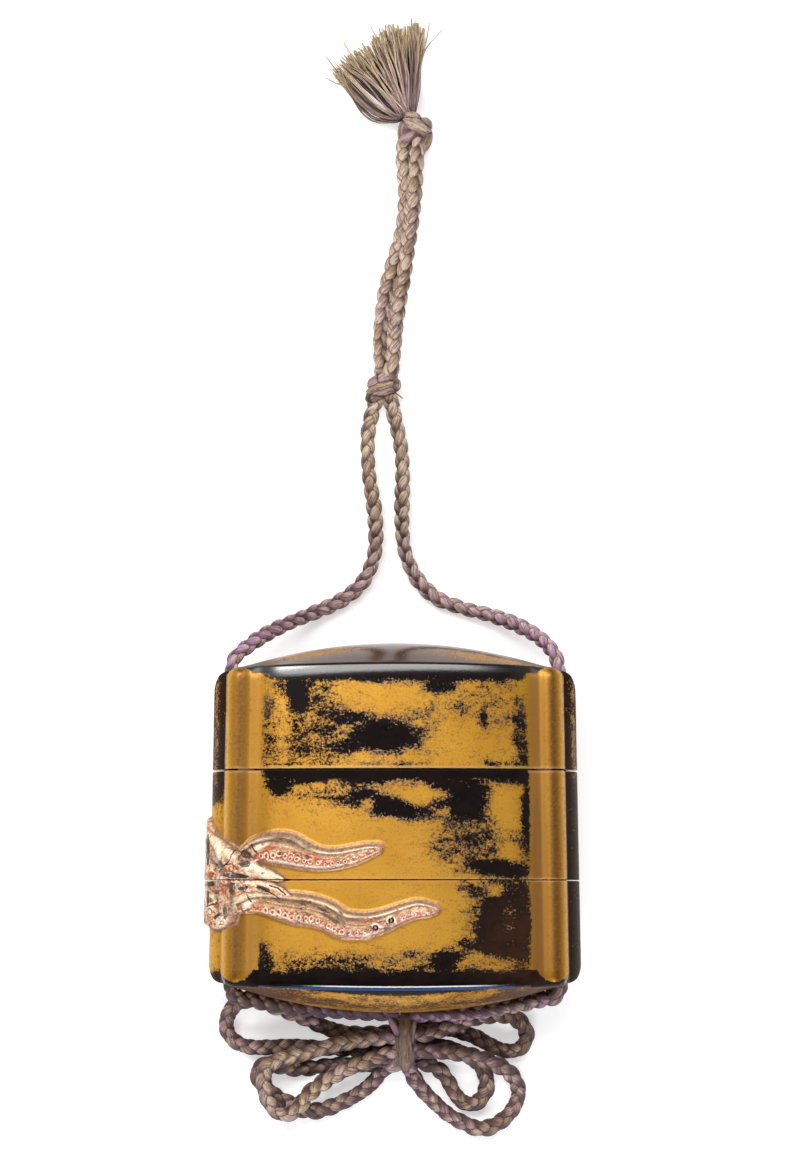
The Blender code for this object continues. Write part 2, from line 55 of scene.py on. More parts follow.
# name, place, size, power and colour of each soft light
LIGHTS = (
    ("key", (-0.42, 0.47, 0.72), (0.20, 0.20), 2.8, (1.0, 0.985, 0.96)),
    ("overhead_softbox", (-0.08, 0.41, 0.84), (0.85, 0.29), 6.6, (1.0, 0.99, 0.975)),
    ("low_white_strip", (0.02, -0.68, 0.54), (0.50, 0.20), 5.6, (1.0, 1.0, 1.0)),
    ("low_blue_strip", (0.02, -0.90, 0.10), (0.55, 0.26), 1.9, (0.04, 0.27, 1.0)))


def add_camera():
    """A long lens over the front face, leaning a little towards the base of the case."""
    data = bpy.data.cameras.new("camera")
    data.sensor_width = 36.0
    data.lens = FOCAL_LENGTH
    camera = bpy.data.objects.new("camera", data)
    x, y, z = CAMERA_AIM
    camera.location = (x, y - CAMERA_DISTANCE * math.sin(CAMERA_TILT),
                       z + CAMERA_DISTANCE * math.cos(CAMERA_TILT))
    camera.rotation_euler = (CAMERA_TILT, 0, 0)
    bpy.context.scene.collection.objects.link(camera)
    bpy.context.scene.camera = camera


def add_light(name, place, size, power, colour):
    """A rectangular soft light at a place, in metres, facing the case."""
    data = bpy.data.lights.new(name, "AREA")
    data.shape = "RECTANGLE"
    data.size, data.size_y = size
    data.energy = power
    data.color = colour
    light = bpy.data.objects.new(name, data)
    light.location = place
    light.rotation_euler = (Vector(LIGHT_AIM) - Vector(place)).to_track_quat("-Z", "Y").to_euler()
    bpy.context.scene.collection.objects.link(light)


def add_studio():
    """A white surround, dimmer overhead and towards the base of the case, and the lights."""
    scene = bpy.context.scene
    scene.view_settings.view_transform = "Standard"
    scene.view_settings.look = "None"
    world = bpy.data.worlds.new("studio")
    world.use_nodes = True
    sky = Nodes(world.node_tree)
    way = sky.node("SeparateXYZ", {0: sky.node("TexCoord").outputs["Generated"]})
    glow = sky.ramp(way.outputs["Z"], 0.0, 0.85, 0.60, 0.12)
    far_side = sky.ramp(way.outputs["Y"], -0.5, 0.1, 0.22, 1.0, smooth=False)
    background = world.node_tree.nodes["Background"]
    sky.feed(background.inputs["Strength"], sky.times(glow, far_side))
    sky.feed(background.inputs["Color"], (1.0, 1.0, 1.0))
    scene.world = world
    for light in LIGHTS:
        add_light(*light)


def add_floor():
    """A pale matt floor just under the part, which glows a little so that it comes out white."""
    bpy.ops.mesh.primitive_plane_add(size=6.0, location=(0, 0, -0.00002))
    floor = bpy.context.object
    floor.name = "floor"
    paint = Shader("pale_floor")
    paint.put("Base Color", (0.62, 0.62, 0.62))
    paint.put("Roughness", 0.9)
    paint.put("Specular IOR Level", 0.1)
    paint.put("Emission Color", (1.0, 1.0, 1.0))
    paint.put("Emission Strength", 0.54)
    floor.data.materials.append(paint.material)


# ---------------------------------------------------------------- materials


class Nodes:
    """A node tree, with short names for the nodes it is built from."""

    def __init__(self, tree):
        self.tree = tree

    def feed(self, socket, value):
        """Links the socket to another node's, or sets its value."""
        if isinstance(value, bpy.types.NodeSocket):
            self.tree.links.new(value, socket)
        elif isinstance(value, tuple) and socket.type == "RGBA":
            socket.default_value = (*value, 1)
        else:
            socket.default_value = value

    def node(self, kind, inputs=None, **settings):
        """A new shader node with its settings and inputs."""
        node = self.tree.nodes.new("ShaderNode" + kind)
        for key, value in settings.items():
            setattr(node, key, value)
        for key, value in (inputs or {}).items():
            self.feed(node.inputs[key], value)
        return node

    def attribute(self, name, output="Fac"):
        return self.node("Attribute", attribute_name=name).outputs[output]

    def noise(self, vector, scale, detail=3.0, rough=0.55, distortion=0.0):
        inputs = {"Vector": vector, "Scale": scale, "Detail": detail, "Roughness": rough,
                  "Distortion": distortion}
        return self.node("TexNoise", inputs).outputs["Fac"]

    def math(self, operation, a, b, clamp=False):
        return self.node("Math", {0: a, 1: b}, operation=operation, use_clamp=clamp).outputs[0]

    def plus(self, a, b):
        return self.math("ADD", a, b)

    def minus(self, a, b, clamp=False):
        return self.math("SUBTRACT", a, b, clamp)

    def times(self, a, b, clamp=False):
        return self.math("MULTIPLY", a, b, clamp)

    def larger(self, a, b):
        return self.math("MAXIMUM", a, b)

    def ramp(self, value, low, high, to_low=0.0, to_high=1.0, smooth=True):
        """The value's place between low and high, spread between two results."""
        inputs = {"Value": value, "From Min": low, "From Max": high, "To Min": to_low, "To Max": to_high}
        kind = "SMOOTHSTEP" if smooth else "LINEAR"
        return self.node("MapRange", inputs, interpolation_type=kind).outputs["Result"]

    def mix(self, factor, a, b):
        """Colour a, turning into colour b as the factor rises."""
        return self.node("Mix", {0: factor, 6: a, 7: b}, data_type="RGBA").outputs[2]

    def blend(self, factor, a, b):
        """Number a, turning into number b as the factor rises."""
        return self.node("Mix", {0: factor, 2: a, 3: b}, data_type="FLOAT").outputs[0]


class Shader(Nodes):
    """A surface material."""

    def __init__(self, name):
        self.material = bpy.data.materials.new(name)
        self.material.use_nodes = True
        super().__init__(self.material.node_tree)
        self.surface = self.tree.nodes["Principled BSDF"]

    def put(self, name, value):
        """Sets one input of the surface."""
        self.feed(self.surface.inputs[name], value)

    def place(self, stretch=(1, 1, 1), vector=None):
        """The point on the piece, in millimetres, stretched."""
        if vector is None:
            vector = self.node("TexCoord").outputs["Object"]
            stretch = tuple(value / MM for value in stretch)
        return self.node("VectorMath", {0: vector, 1: stretch}, operation="MULTIPLY").outputs[0]

    def bump(self, height, strength, distance):
        """Bump with its distance in millimetres."""
        inputs = {"Height": height, "Strength": strength, "Distance": distance * MM}
        self.put("Normal", self.node("Bump", inputs).outputs["Normal"])


def silk_material(name, light, warm, dark, lilac, fibre_bump, fibre_scale=4.2):
    """Silk threads that run along the strands; the crevices are darkened with painted shade.

    The pieces carry the way along and across a strand, how deep a point lies, and its tints; the shade tint
    is painted shade mixed with the silk's own tone, and where it is negative a painted highlight.
    """
    silk = Shader(name)
    way = silk.attribute("way", "Vector")
    threads = silk.noise(silk.place((0.45, fibre_scale, 7.0), way), 1.0, 3.0, 0.7)
    clumps = silk.noise(silk.place((0.5, 1.9, 5.0), way), 1.0, 2.0, 0.5)
    blotch = silk.noise(silk.place(), 0.55, 3.0, 0.6)
    height = silk.attribute("height")
    tint = silk.attribute("tint")
    shade = silk.attribute("shade")
    tone = silk.plus(silk.times(tint, 0.8), silk.times(blotch, 0.7))
    colour = silk.mix(silk.ramp(tone, 0.35, 1.05), light, warm)
    colour = silk.mix(silk.attribute("mauve"), colour, lilac)
    pale = tuple(min(1.0, 1.3 * value + 0.04) for value in light)
    colour = silk.mix(silk.ramp(clumps, 0.5, 0.7, 0.0, 0.5), colour, pale)
    # painted highlight where the shade tint is negative
    colour = silk.mix(silk.ramp(shade, 0.0, -0.7, 0.0, 0.6), colour, pale)
    colour = silk.mix(silk.ramp(threads, 0.47, 0.62, 0.0, 0.7), colour, dark)
    # painted shade where the shade tint is positive
    colour = silk.mix(silk.ramp(shade, 0.0, 0.9, 0.0, 0.9), colour, dark)
    # painted shade in the crevices, where the height is low
    colour = silk.mix(silk.ramp(height, 0.0, 0.65, 1.0, 0.0), colour, tuple(0.22 * value for value in dark))
    silk.put("Base Color", colour)
    silk.put("Roughness", silk.ramp(threads, 0.2, 0.8, 0.55, 0.75))
    silk.put("Specular IOR Level", 0.35)
    silk.put("Sheen Weight", 0.15)
    silk.put("Sheen Roughness", 0.4)
    silk.put("Sheen Tint", (0.95, 0.85, 0.8))
    heights = silk.plus(threads, silk.times(clumps, 1.3))
    silk.bump(heights, fibre_bump, 0.16)
    return silk.material


# ---------------------------------------------------------------- mesh helpers


def build_mesh(name, points, faces, attributes, materials=()):
    """An object from points in millimetres, faces and values at the points."""
    mesh = bpy.data.meshes.new(name)
    mesh.from_pydata((np.asarray(points, float) * MM).tolist(), [], faces)
    mesh.validate()
    for key, values in attributes.items():
        values = np.asarray(values, np.float32)
        if values.ndim == 1:
            mesh.attributes.new(key, "FLOAT", "POINT").data.foreach_set("value", values)
        else:
            mesh.attributes.new(key, "FLOAT_VECTOR", "POINT").data.foreach_set("vector", values.ravel())
    mesh.shade_smooth()
    for material in materials:
        mesh.materials.append(material)
    obj = bpy.data.objects.new(name, mesh)
    bpy.context.scene.collection.objects.link(obj)
    return obj


def points_of(mesh):
    """The points of a mesh, in millimetres."""
    flat = np.zeros(len(mesh.vertices) * 3, np.float32)
    mesh.vertices.foreach_get("co", flat)
    return flat.reshape(-1, 3).astype(float) / MM


def walk(points):
    """How far along the path each of its points lies."""
    return np.concatenate([[0], np.cumsum(np.linalg.norm(np.diff(points, axis=0), axis=1))])


def smooth_route(points, step):
    """Points about step apart along a smooth curve through the given ones, in millimetres."""
    points = [np.array(p, float) for p in points]
    ends = [2 * points[0] - points[1]] + points + [2 * points[-1] - points[-2]]
    t = np.linspace(0, 1, 13)[:-1, None]
    dense = np.concatenate([
        0.5 * (2 * b + (c - a) * t + (2 * a - 5 * b + 4 * c - d) * t ** 2
               + (3 * b - a - 3 * c + d) * t ** 3)
        for a, b, c, d in zip(ends, ends[1:], ends[2:], ends[3:])] + [points[-1][None]])
    walked = walk(dense)
    at = np.linspace(0, walked[-1], max(2, round(walked[-1] / step)) + 1)
    return np.stack([np.interp(at, walked, dense[:, i]) for i in range(dense.shape[1])], 1)


def path_length(points):
    """Length of a line of points."""
    return float(np.linalg.norm(np.diff(points, axis=0), axis=1).sum())


def path_frames(points):
    """Sideways and upward directions along a path."""
    tangent = np.gradient(points, axis=0)
    tangent /= np.linalg.norm(tangent, axis=1, keepdims=True)
    side = np.cross(tangent, [0.0, 0.0, 1.0])
    side /= np.linalg.norm(side, axis=1, keepdims=True)
    return side, np.cross(side, tangent)


def round_path(side, up, angle):
    """Directions away from a path at these angles round it."""
    return np.cos(angle)[None, :, None] * up[:, None] + np.sin(angle)[None, :, None] * side[:, None]


def tube_faces(rings, sides):
    """Quads between rings of points, with flat ends."""
    faces = []
    for a in range(0, (rings - 1) * sides, sides):
        for j in range(sides):
            k = (j + 1) % sides
            faces.append((a + j, a + k, a + sides + k, a + sides + j))
    faces.append(tuple(range(sides - 1, -1, -1)))
    faces.append(tuple(range((rings - 1) * sides, rings * sides)))
    return faces


def soft_step(value, low, high):
    """0 below low, 1 above high, and smooth between them."""
    t = np.clip((value - low) / (high - low), 0, 1)
    return t * t * (3 - 2 * t)


def bell(value, centre, width):
    """1 at the centre, falling away smoothly on both sides."""
    return np.exp(-((value - centre) / width) ** 2)


def scatter(number, salt):
    """A steady pseudo-random value from 0 to 1 for each number."""
    return np.mod(np.sin(number * 12.9898 + salt * 78.233) * 43758.5453, 1.0)


def rough_field(points, scale, seed):
    """Smooth noise of about -1 to 1 at the points."""
    shift = Vector((seed * 17.3, seed * 5.1, seed * 9.7))
    return np.array([noise.fractal(Vector(p) * scale + shift, 0.6, 2.0, 3) for p in points])


# ---------------------------------------------------------------- the braided cord

BRAID_PITCH = 2.62            # from one lobe to the next, along each side of the braid
BRAID_SIDES = 40
BRAID_STEP = 0.18
LOBE_HALF_LENGTH = 1.74
LOBE_HALF_WIDTH = 1.06
LOBE_LEAN = math.radians(31)
LOBE_CORE = 0.60              # radius at the bottom of the crevices
LOBE_HEIGHT = 0.80
SPREAD_RADIUS = 1.15          # radius at which the lobes' widths are laid out

UNDER_BASE = -20.0            # the legs of the cord are under the base below this
THROUGH_CHANNEL = 55          # points along a channel

# Each leg falls from the binding knot to its channel, and runs in to the bow under the base.
LEFT_FALL = [
    (-3.0, 74.4, 2.2), (-3.5, 72.8, 1.9), (-4.1, 70.7, 1.4), (-4.6, 68.1, 1.4), (-4.7, 64.6, 1.4),
    (-4.5, 60.8, 1.4), (-3.8, 56.4, 1.4), (-3.3, 51.5, 1.4), (-3.6, 46.7, 1.4), (-5.5, 42.3, 1.4),
    (-9.1, 39.2, 1.4),
    (-13.5, 37.1, 2.3), (-17.7, 35.2, 5.0), (-21.6, 33.1, 8.2), (-24.9, 30.7, 11.0),
    (-27.1, 28.6, 12.3), (-27.6, 26.6, 12.5)]
LEFT_BASE = [
    (-27.6, -26.9, 12.5), (-27.2, -28.05, 12.2), (-26.1, -28.6, 11.3), (-24.5, -28.9, 10.4),
    (-22.8, -29.3, 9.6), (-21.1, -29.6, 8.8), (-18.3, -30.1, 7.7), (-16.6, -30.3, 7.2),
    (-13.0, -30.7, 6.6), (-9.3, -30.9, 6.0), (-5.6, -31.1, 5.5), (-0.4, -31.4, 5.0), (0.9, -31.5, 4.9)]
RIGHT_FALL = [
    (-1.1, 74.4, 2.3), (-0.6, 72.8, 1.9), (-0.1, 70.7, 1.4), (0.5, 68.1, 1.4), (1.1, 64.6, 1.4),
    (1.3, 60.8, 1.4), (1.2, 56.4, 1.4), (1.2, 51.5, 1.4), (1.8, 47.1, 1.4), (3.8, 42.8, 1.4),
    (7.2, 39.5, 1.4),
    (11.6, 37.8, 1.5), (16.6, 36.4, 2.8), (21.1, 34.5, 5.6), (24.8, 32.0, 9.0),
    (27.0, 29.2, 12.0), (27.6, 26.6, 12.5)]
RIGHT_BASE = [
    (27.6, -26.9, 12.5), (27.2, -28.05, 12.2), (26.1, -28.6, 11.3), (24.6, -28.9, 10.4),
    (23.0, -29.3, 9.7), (21.0, -29.7, 8.9), (19.0, -30.0, 8.1), (15.7, -30.6, 7.3),
    (12.0, -31.0, 6.7), (9.3, -31.2, 6.2), (6.8, -31.3, 5.7), (3.9, -31.5, 5.2), (2.7, -31.6, 5.0)]
PAIR_LEFT_ROUTE = [
    (-2.2, 77.6, 2.0), (-2.2, 79.2, 1.4), (-2.45, 82.1, 1.4), (-2.5, 84.7, 1.4), (-2.3, 87.4, 1.4),
    (-1.5, 92.6, 1.4), (-0.8, 95.1, 1.4), (-0.2, 97.6, 1.4), (1.2, 102.8, 1.4), (1.9, 108.0, 1.4),
    (1.75, 111.8, 1.4), (1.5, 114.3, 1.4), (1.4, 116.6, 1.4), (1.7, 118.4, 1.9)]
PAIR_RIGHT_ROUTE = [
    (-0.9, 77.6, 2.9), (-0.5, 79.2, 3.8), (-0.25, 82.1, 3.2), (-0.05, 84.7, 2.2), (0.15, 87.4, 1.5),
    (1.0, 92.6, 1.5), (1.55, 95.1, 2.4), (1.9, 97.6, 3.3), (2.6, 102.8, 3.8), (3.2, 108.0, 3.8),
    (3.5, 111.8, 3.6), (3.7, 114.3, 3.5), (4.0, 116.6, 3.3), (4.2, 118.4, 2.9)]
BOW_ROUTES = {
    "bow_loop_left_upper": [
        (1.0, -34.3, 1.7), (-0.4, -34.5, 1.4), (-3.9, -34.8, 1.4), (-7.7, -34.8, 1.4), (-11.1, -34.0, 1.4),
        (-15.3, -32.2, 1.4), (-20.4, -30.2, 1.4), (-24.2, -29.1, 1.4), (-26.8, -29.6, 1.4),
        (-28.3, -31.4, 1.4), (-28.7, -33.5, 1.4), (-28.2, -35.0, 1.4), (-26.7, -36.4, 1.4),
        (-24.3, -37.1, 1.4), (-20.8, -37.1, 1.4),
        (-16.5, -37.0, 1.4), (-12.0, -37.2, 1.4), (-8.0, -37.4, 1.4), (-4.3, -37.4, 1.4),
        (-0.4, -37.1, 1.4), (1.0, -36.9, 1.7)],
    "bow_loop_left_front": [
        (1.0, -35.1, 4.1), (-0.4, -35.2, 4.3), (-5.1, -35.7, 4.3), (-9.3, -36.4, 4.3), (-13.1, -37.5, 4.3),
        (-16.6, -38.5, 4.3), (-19.3, -39.1, 4.3), (-21.4, -40.1, 4.3), (-22.2, -41.8, 4.3),
        (-22.1, -44.0, 4.4), (-21.3, -46.4, 4.4), (-19.5, -48.2, 4.3), (-17.7, -48.2, 4.3),
        (-16.1, -46.8, 4.3), (-14.8, -45.1, 4.3), (-12.9, -43.5, 4.0), (-10.2, -41.8, 3.9),
        (-7.5, -40.5, 4.2), (-4.6, -39.4, 4.3), (-0.4, -38.1, 4.3), (1.0, -37.6, 4.1)],
    "bow_loop_left_lower": [
        (1.0, -39.4, 1.7), (-0.4, -39.8, 1.4), (-5.1, -40.0, 1.4), (-10.2, -40.1, 1.4), (-13.3, -40.5, 1.4),
        (-16.3, -40.7, 1.4), (-18.9, -40.4, 1.4), (-21.1, -39.9, 1.4), (-23.0, -40.6, 1.4),
        (-23.3, -42.3, 1.4), (-22.0, -44.0, 1.4), (-19.9, -45.5, 1.4), (-17.7, -46.7, 1.4),
        (-15.6, -47.7, 1.4), (-13.6, -47.9, 1.4), (-11.1, -47.3, 1.4), (-8.3, -46.1, 1.4),
        (-6.3, -45.0, 1.4), (-4.7, -43.9, 1.4), (-3.4, -42.6, 1.4), (-2.4, -41.3, 1.6), (-1.1, -40.3, 2.2),
        (0.3, -39.6, 2.8)],
    "bow_loop_right_upper": [
        (2.6, -35.0, 4.1), (3.9, -34.9, 4.3), (6.3, -34.5, 4.3), (8.8, -33.7, 4.3), (11.6, -32.7, 4.2),
        (14.5, -32.0, 3.1), (17.5, -31.6, 1.7), (19.8, -31.9, 1.4), (21.7, -33.2, 1.4),
        (22.4, -35.2, 1.4), (21.4, -37.2, 1.4), (18.9, -37.7, 1.4), (16.2, -36.7, 1.4),
        (13.6, -35.3, 1.4), (11.0, -34.4, 1.4), (8.0, -33.7, 1.4), (3.9, -33.5, 1.4), (2.6, -33.4, 1.7)],
    "bow_loop_right_inner": [
        (2.6, -36.4, 1.7), (3.9, -36.5, 1.4), (7.6, -36.8, 1.4), (10.2, -37.5, 1.4), (12.7, -38.8, 1.4),
        (14.6, -40.3, 1.4), (15.6, -42.7, 1.4), (15.2, -45.0, 1.4), (13.6, -46.6, 1.4),
        (11.6, -46.4, 1.4), (10.1, -44.8, 1.4), (9.0, -42.8, 1.4), (7.8, -41.2, 1.4),
        (6.1, -40.1, 1.4), (3.9, -39.4, 1.4), (2.6, -38.9, 1.7)],
    "bow_loop_right_lower": [
        (2.6, -37.4, 4.1), (3.9, -37.7, 4.3), (6.8, -37.8, 4.3), (9.7, -38.0, 4.3), (12.4, -38.4, 4.3),
        (15.1, -39.1, 4.3), (17.9, -40.3, 3.6), (20.1, -42.1, 2.4), (21.0, -44.5, 1.5),
        (20.4, -46.9, 1.4), (18.7, -49.1, 1.4), (16.2, -50.6, 1.4), (13.9, -50.8, 1.4),
        (11.7, -49.9, 1.4), (9.2, -48.6, 1.4), (6.9, -46.6, 1.4), (4.9, -44.6, 1.4),
        (3.3, -42.4, 1.4), (2.6, -40.9, 1.8), (2.3, -39.4, 2.6)],
}


def lobe_field(along, angle, seed):
    """The braid's surface: radius, height over the crevices, way on the strand and its number.

    Four columns of leaning lobes stand round the cord, each column half a lobe on from the next
    and leaning the other way, so that the strands seem to go over and under each other.
    """
    best = np.full(np.broadcast(along, angle).shape, -1e9)
    second = best.copy()
    way = np.zeros(best.shape + (2,))
    number = np.zeros_like(best)
    for column in range(4):
        lean = LOBE_LEAN * (1 if column % 2 == 0 else -1)
        offset = BRAID_PITCH / 2 * (column % 2)
        arc = (angle - column * math.pi / 2 + math.pi) % (2 * math.pi) - math.pi
        across = SPREAD_RADIUS * arc
        nearest = np.round((along - offset) / BRAID_PITCH)
        for shift in (-1, 0, 1):
            index = nearest + shift
            d = along - offset - index * BRAID_PITCH
            u = d * math.cos(lean) + across * math.sin(lean)
            v = across * math.cos(lean) - d * math.sin(lean)
            out = (u / LOBE_HALF_LENGTH) ** 2 + (v / LOBE_HALF_WIDTH) ** 2
            dome = np.sqrt(np.clip(1 - out, 0, None)) - 0.05 * np.clip(out - 1, 0, 4)
            dome += (0.07 * scatter(index * 4 + column + 97 * seed, 5.0) - 0.12 * u / LOBE_HALF_LENGTH)
            wins = dome > best
            second = np.where(wins, best, np.maximum(second, dome))
            best = np.where(wins, dome, best)
            way = np.where(wins[..., None], np.stack([u, v], -1), way)
            number = np.where(wins, index * 4 + column + 97 * seed, number)
    # the crease height is used for painted shade in the crevices
    crease = np.clip((best - second) / 0.46, 0, 1)
    height = crease * (0.45 + 0.55 * np.clip(best / 0.7, 0, 1))
    return LOBE_CORE + LOBE_HEIGHT * np.clip(best, 0.05, None), height, way, number


def braid(name, parts, seed, tones, material, size=1.0, turn=0.0):
    """A braided cord through path stretches; tones gives lilac, darkness and warmth at the points.

    Size is the thickness over the usual one: one number, or one above the base and one under it.
    """
    points = np.concatenate([parts[0]] + [p[1:] for p in parts[1:]])
    side, up = path_frames(points)
    walked = walk(points)
    roll = turn + 0.32 * np.sin(walked / 9.0 + seed * 2.1) + 0.22 * np.sin(walked / 4.3 + seed * 4.7)
    angle = np.linspace(0, 2 * math.pi, BRAID_SIDES, endpoint=False)
    along = np.broadcast_to(walked[:, None], (len(points), BRAID_SIDES))
    radius, height, way, number = lobe_field(along, angle[None, :] - roll[:, None], seed)
    number = number.ravel()
    upper, lower = np.broadcast_to(size, 2)
    thick = np.where(points[:, 1] < UNDER_BASE, lower, upper)
    radius = (thick * (1 + 0.04 * np.sin(walked / 2.7 + seed)))[:, None] * radius
    surface = (points[:, None] + radius[..., None] * round_path(side, up, angle)).reshape(-1, 3)
    # painted shade and highlight: the lower end of each lobe is darkened and its upper end lightened
    darkening = np.clip(1.15 * way[..., 0].ravel() / LOBE_HALF_LENGTH, -0.6, 0.9)
    darkening = darkening * (0.7 + 0.5 * scatter(number, 3.0))
    lilac, dark, warm = tones(surface)
    attributes = {
        "height": height.ravel(),
        "way": np.stack([way[..., 0].ravel(), way[..., 1].ravel(), scatter(number, 2.0) * 9], 1),
        "tint": np.clip(0.75 * scatter(number, 1.0) + warm, 0, 1),
        "shade": np.clip(darkening + dark, -1, 1),
        "mauve": np.clip(lilac * (0.65 + 0.6 * scatter(number, 7.0)), 0, 1)}
    obj = build_mesh(name + "_silk", surface, tube_faces(len(points), BRAID_SIDES), attributes, [material])
    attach(obj, "root")
    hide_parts(name)
    return obj, points


def declare(points):
    """Gathers every fifth point of the cord's path and the last, in metres; nothing more is done with them.
    """
    path = list(points[::5])
    if len(points) % 5 != 1:
        path.append(points[-1])
    path = np.array(path) * MM


def leg_tones(points):
    """Lilac near the case, fading to tan up the legs; darker and purple again under the base, where the
    darkness is partly the cord's own tone and partly painted shade from the case's end over it.
    """
    x, y, _ = points.T
    from_knot = np.hypot(x, y - 66)
    upper = soft_step(from_knot, 27, 44)
    base = 0.75 * soft_step(x, -19, -13) * (1 - 0.6 * soft_step(x, 8, 20))
    lilac = np.where(y > 0, 0.4 * soft_step(from_knot, 10, 24) + 0.6 * upper, base)
    dark = np.where(y > 0, 0.10 * (1 - upper), 0.80 + 0.45 * bell(x, -5, 10) - 0.20 * soft_step(x, 8, 24))
    warm = np.where(y > 0, 0.05 - 0.1 * upper, 0.25 + 0.6 * (1 - soft_step(x, -17, -11)))
    return lilac, dark, warm


def plain_tones(lilac, dark, warm, near_wrap=0.0):
    """Even tones along a stretch, with lilac where it comes out of the wrap."""
    def tones(points):
        close = 1 - soft_step(np.hypot(points[:, 0] - 1.7, points[:, 1] + 37), 4.0, 11.0)
        wander = 0.12 * np.sin(points[:, 0] * 0.45 + points[:, 1] * 0.31)
        return lilac + wander + near_wrap * close, np.full(len(points), dark) + 0.15 * close, warm
    return tones


# The darkness of each loop is partly the silk's own tone and partly painted shade on the loops that lie under
# others.
BOW_TONES = {
    "bow_loop_left_upper": plain_tones(0.20, 0.58, 0.30, 0.2),
    "bow_loop_left_front": plain_tones(0.0, 0.26, 0.30, 0.25),
    "bow_loop_left_lower": plain_tones(0.12, 0.72, 0.38, 0.5),
    "bow_loop_right_upper": plain_tones(0.10, 0.62, 0.42, 0.2),
    "bow_loop_right_inner": plain_tones(0.08, 0.82, 0.38, 0.1),
    "bow_loop_right_lower": plain_tones(0.12, 0.72, 0.32, 0.3),
}


def make_cords():
    silk = silk_material("braided_silk_look", (0.50, 0.37, 0.275), (0.27, 0.175, 0.09), (0.060, 0.028, 0.034),
                         (0.42, 0.235, 0.40), 1.0)
    laid = {}
    for seed, (name, fall, base) in enumerate((("cord_left", LEFT_FALL, LEFT_BASE),
                                               ("cord_right", RIGHT_FALL, RIGHT_BASE))):
        fall = smooth_route(fall, BRAID_STEP)
        base = smooth_route(base, BRAID_STEP)
        inside = np.linspace(fall[-1], base[0], THROUGH_CHANNEL)
        laid[name] = braid(name, [fall, inside, base], seed, leg_tones, silk, (0.94, 1.0 + 0.08 * seed))
    for seed, (name, route) in enumerate((("cord_pair_left", PAIR_LEFT_ROUTE),
                                          ("cord_pair_right", PAIR_RIGHT_ROUTE))):
        laid[name] = braid(name, [smooth_route(route, BRAID_STEP)], seed + 2,
                           plain_tones(0.08, 0.0, 0.0), silk)
    for seed, (name, route) in enumerate(BOW_ROUTES.items()):
        laid[name] = braid(name, [smooth_route(route, BRAID_STEP)], seed + 4, BOW_TONES[name], silk, 1.06,
                           math.pi / 4)
    return laid


# ---------------------------------------------------------------- the case: its outer shape

HALF_WIDTH = 30.9
TAPER = 0.018
HALF_HEIGHT = 31.1
MID_Z = 12.5
FACE_BULGE = 12.65
FACE_RADIUS = 90.0
RIB_CENTRE = 26.1
RIB_RADIUS = 2.5
RIB_DEPTH = 7.05              # the rib's centre over the middle plane; it stands proud of the face
RIB_FROM = 22.3               # where a rib and its valley begin, and where the side wall begins
RIB_TO = 29.0
VALLEY_PLACE = 23.0           # the shallow valley inside the rib
VALLEY_DEPTH = 0.35
VALLEY_WIDTH = 1.6
SIDE_CENTRE = 26.9
SIDE_DEPTH = 5.6
SIDE_WALL_HALF = 7.6          # half depth of the side walls' own finish
SIDE_START = math.acos((RIB_CENTRE + RIB_RADIUS + 0.2 - SIDE_CENTRE) / (HALF_WIDTH - SIDE_CENTRE))
CROWN_RADIUS = 83.0
END_DROP = 3.8
END_DROP_REACH = 27.4
CORNER_START = 28.0
CORNER_DROP = 2.2
SHOULDER = 0.35
SHOULDER_RUN = 2.4
# rounding over of the edges of the domed ends, lid 1 and base -1: gap from the edge and drop
ARRIS = {1: ((0.0, 0.08), (0.12, 0.03), (0.35, 0.0)),
         -1: ((0.0, 0.345), (0.32, 0.135), (0.36, 0.099), (0.70, 0.0))}
# rings near the edge of a domed end, by their gap from it, and over the end, 0 at the crown
LAST_RINGS = (0.74, 0.66, 0.56, 0.46, 0.37, 0.31, 0.22, 0.12, 0.02)
DOME_RINGS = (0.96, 0.92, 0.86, 0.79, 0.71, 0.62, 0.52, 0.42, 0.31, 0.2, 0.1, 0.0)
RIB_END_RUN = 1.3             # the ribs round over within this of the domed ends
RIB_END_DROP = 0.9

UPPER_SEAM = 9.45
LOWER_SEAM = -8.95
UPPER_GAP = 0.28
LOWER_GAP = 0.18
RIM = 0.10                    # rounding of the rims at the seams
LIP_HEIGHT = 4.0
LIP_INSET = 1.1
SOCKET_INSET = 0.8
WALL = 2.0
CAVITY_HALF = 23.2
LIP_HALF = 24.1
SOCKET_HALF = 24.4
FLOOR = 1.4
DOME_WALL = 2.4
CHANNEL_X = 27.6
CHANNEL_RADIUS = 1.6


def crown(u):
    """Height of the crown line over mid height."""
    corner = np.clip((np.abs(u) - CORNER_START) / (HALF_WIDTH - CORNER_START), 0, 1)
    return HALF_HEIGHT - u * u / (2 * CROWN_RADIUS) - CORNER_DROP * corner ** 6


def end_drop(u):
    """How far the front edge lies below the crown line."""
    return END_DROP * np.clip(1 - (u / END_DROP_REACH) ** 2, 0, 1)


def end_edge(u):
    """Height of the edge where the front and back meet a domed end."""
    return crown(u) - end_drop(u)


def pillow(u):
    """Half thickness of the plain pillow shape."""
    return FACE_BULGE - u * u / (2 * FACE_RADIUS)


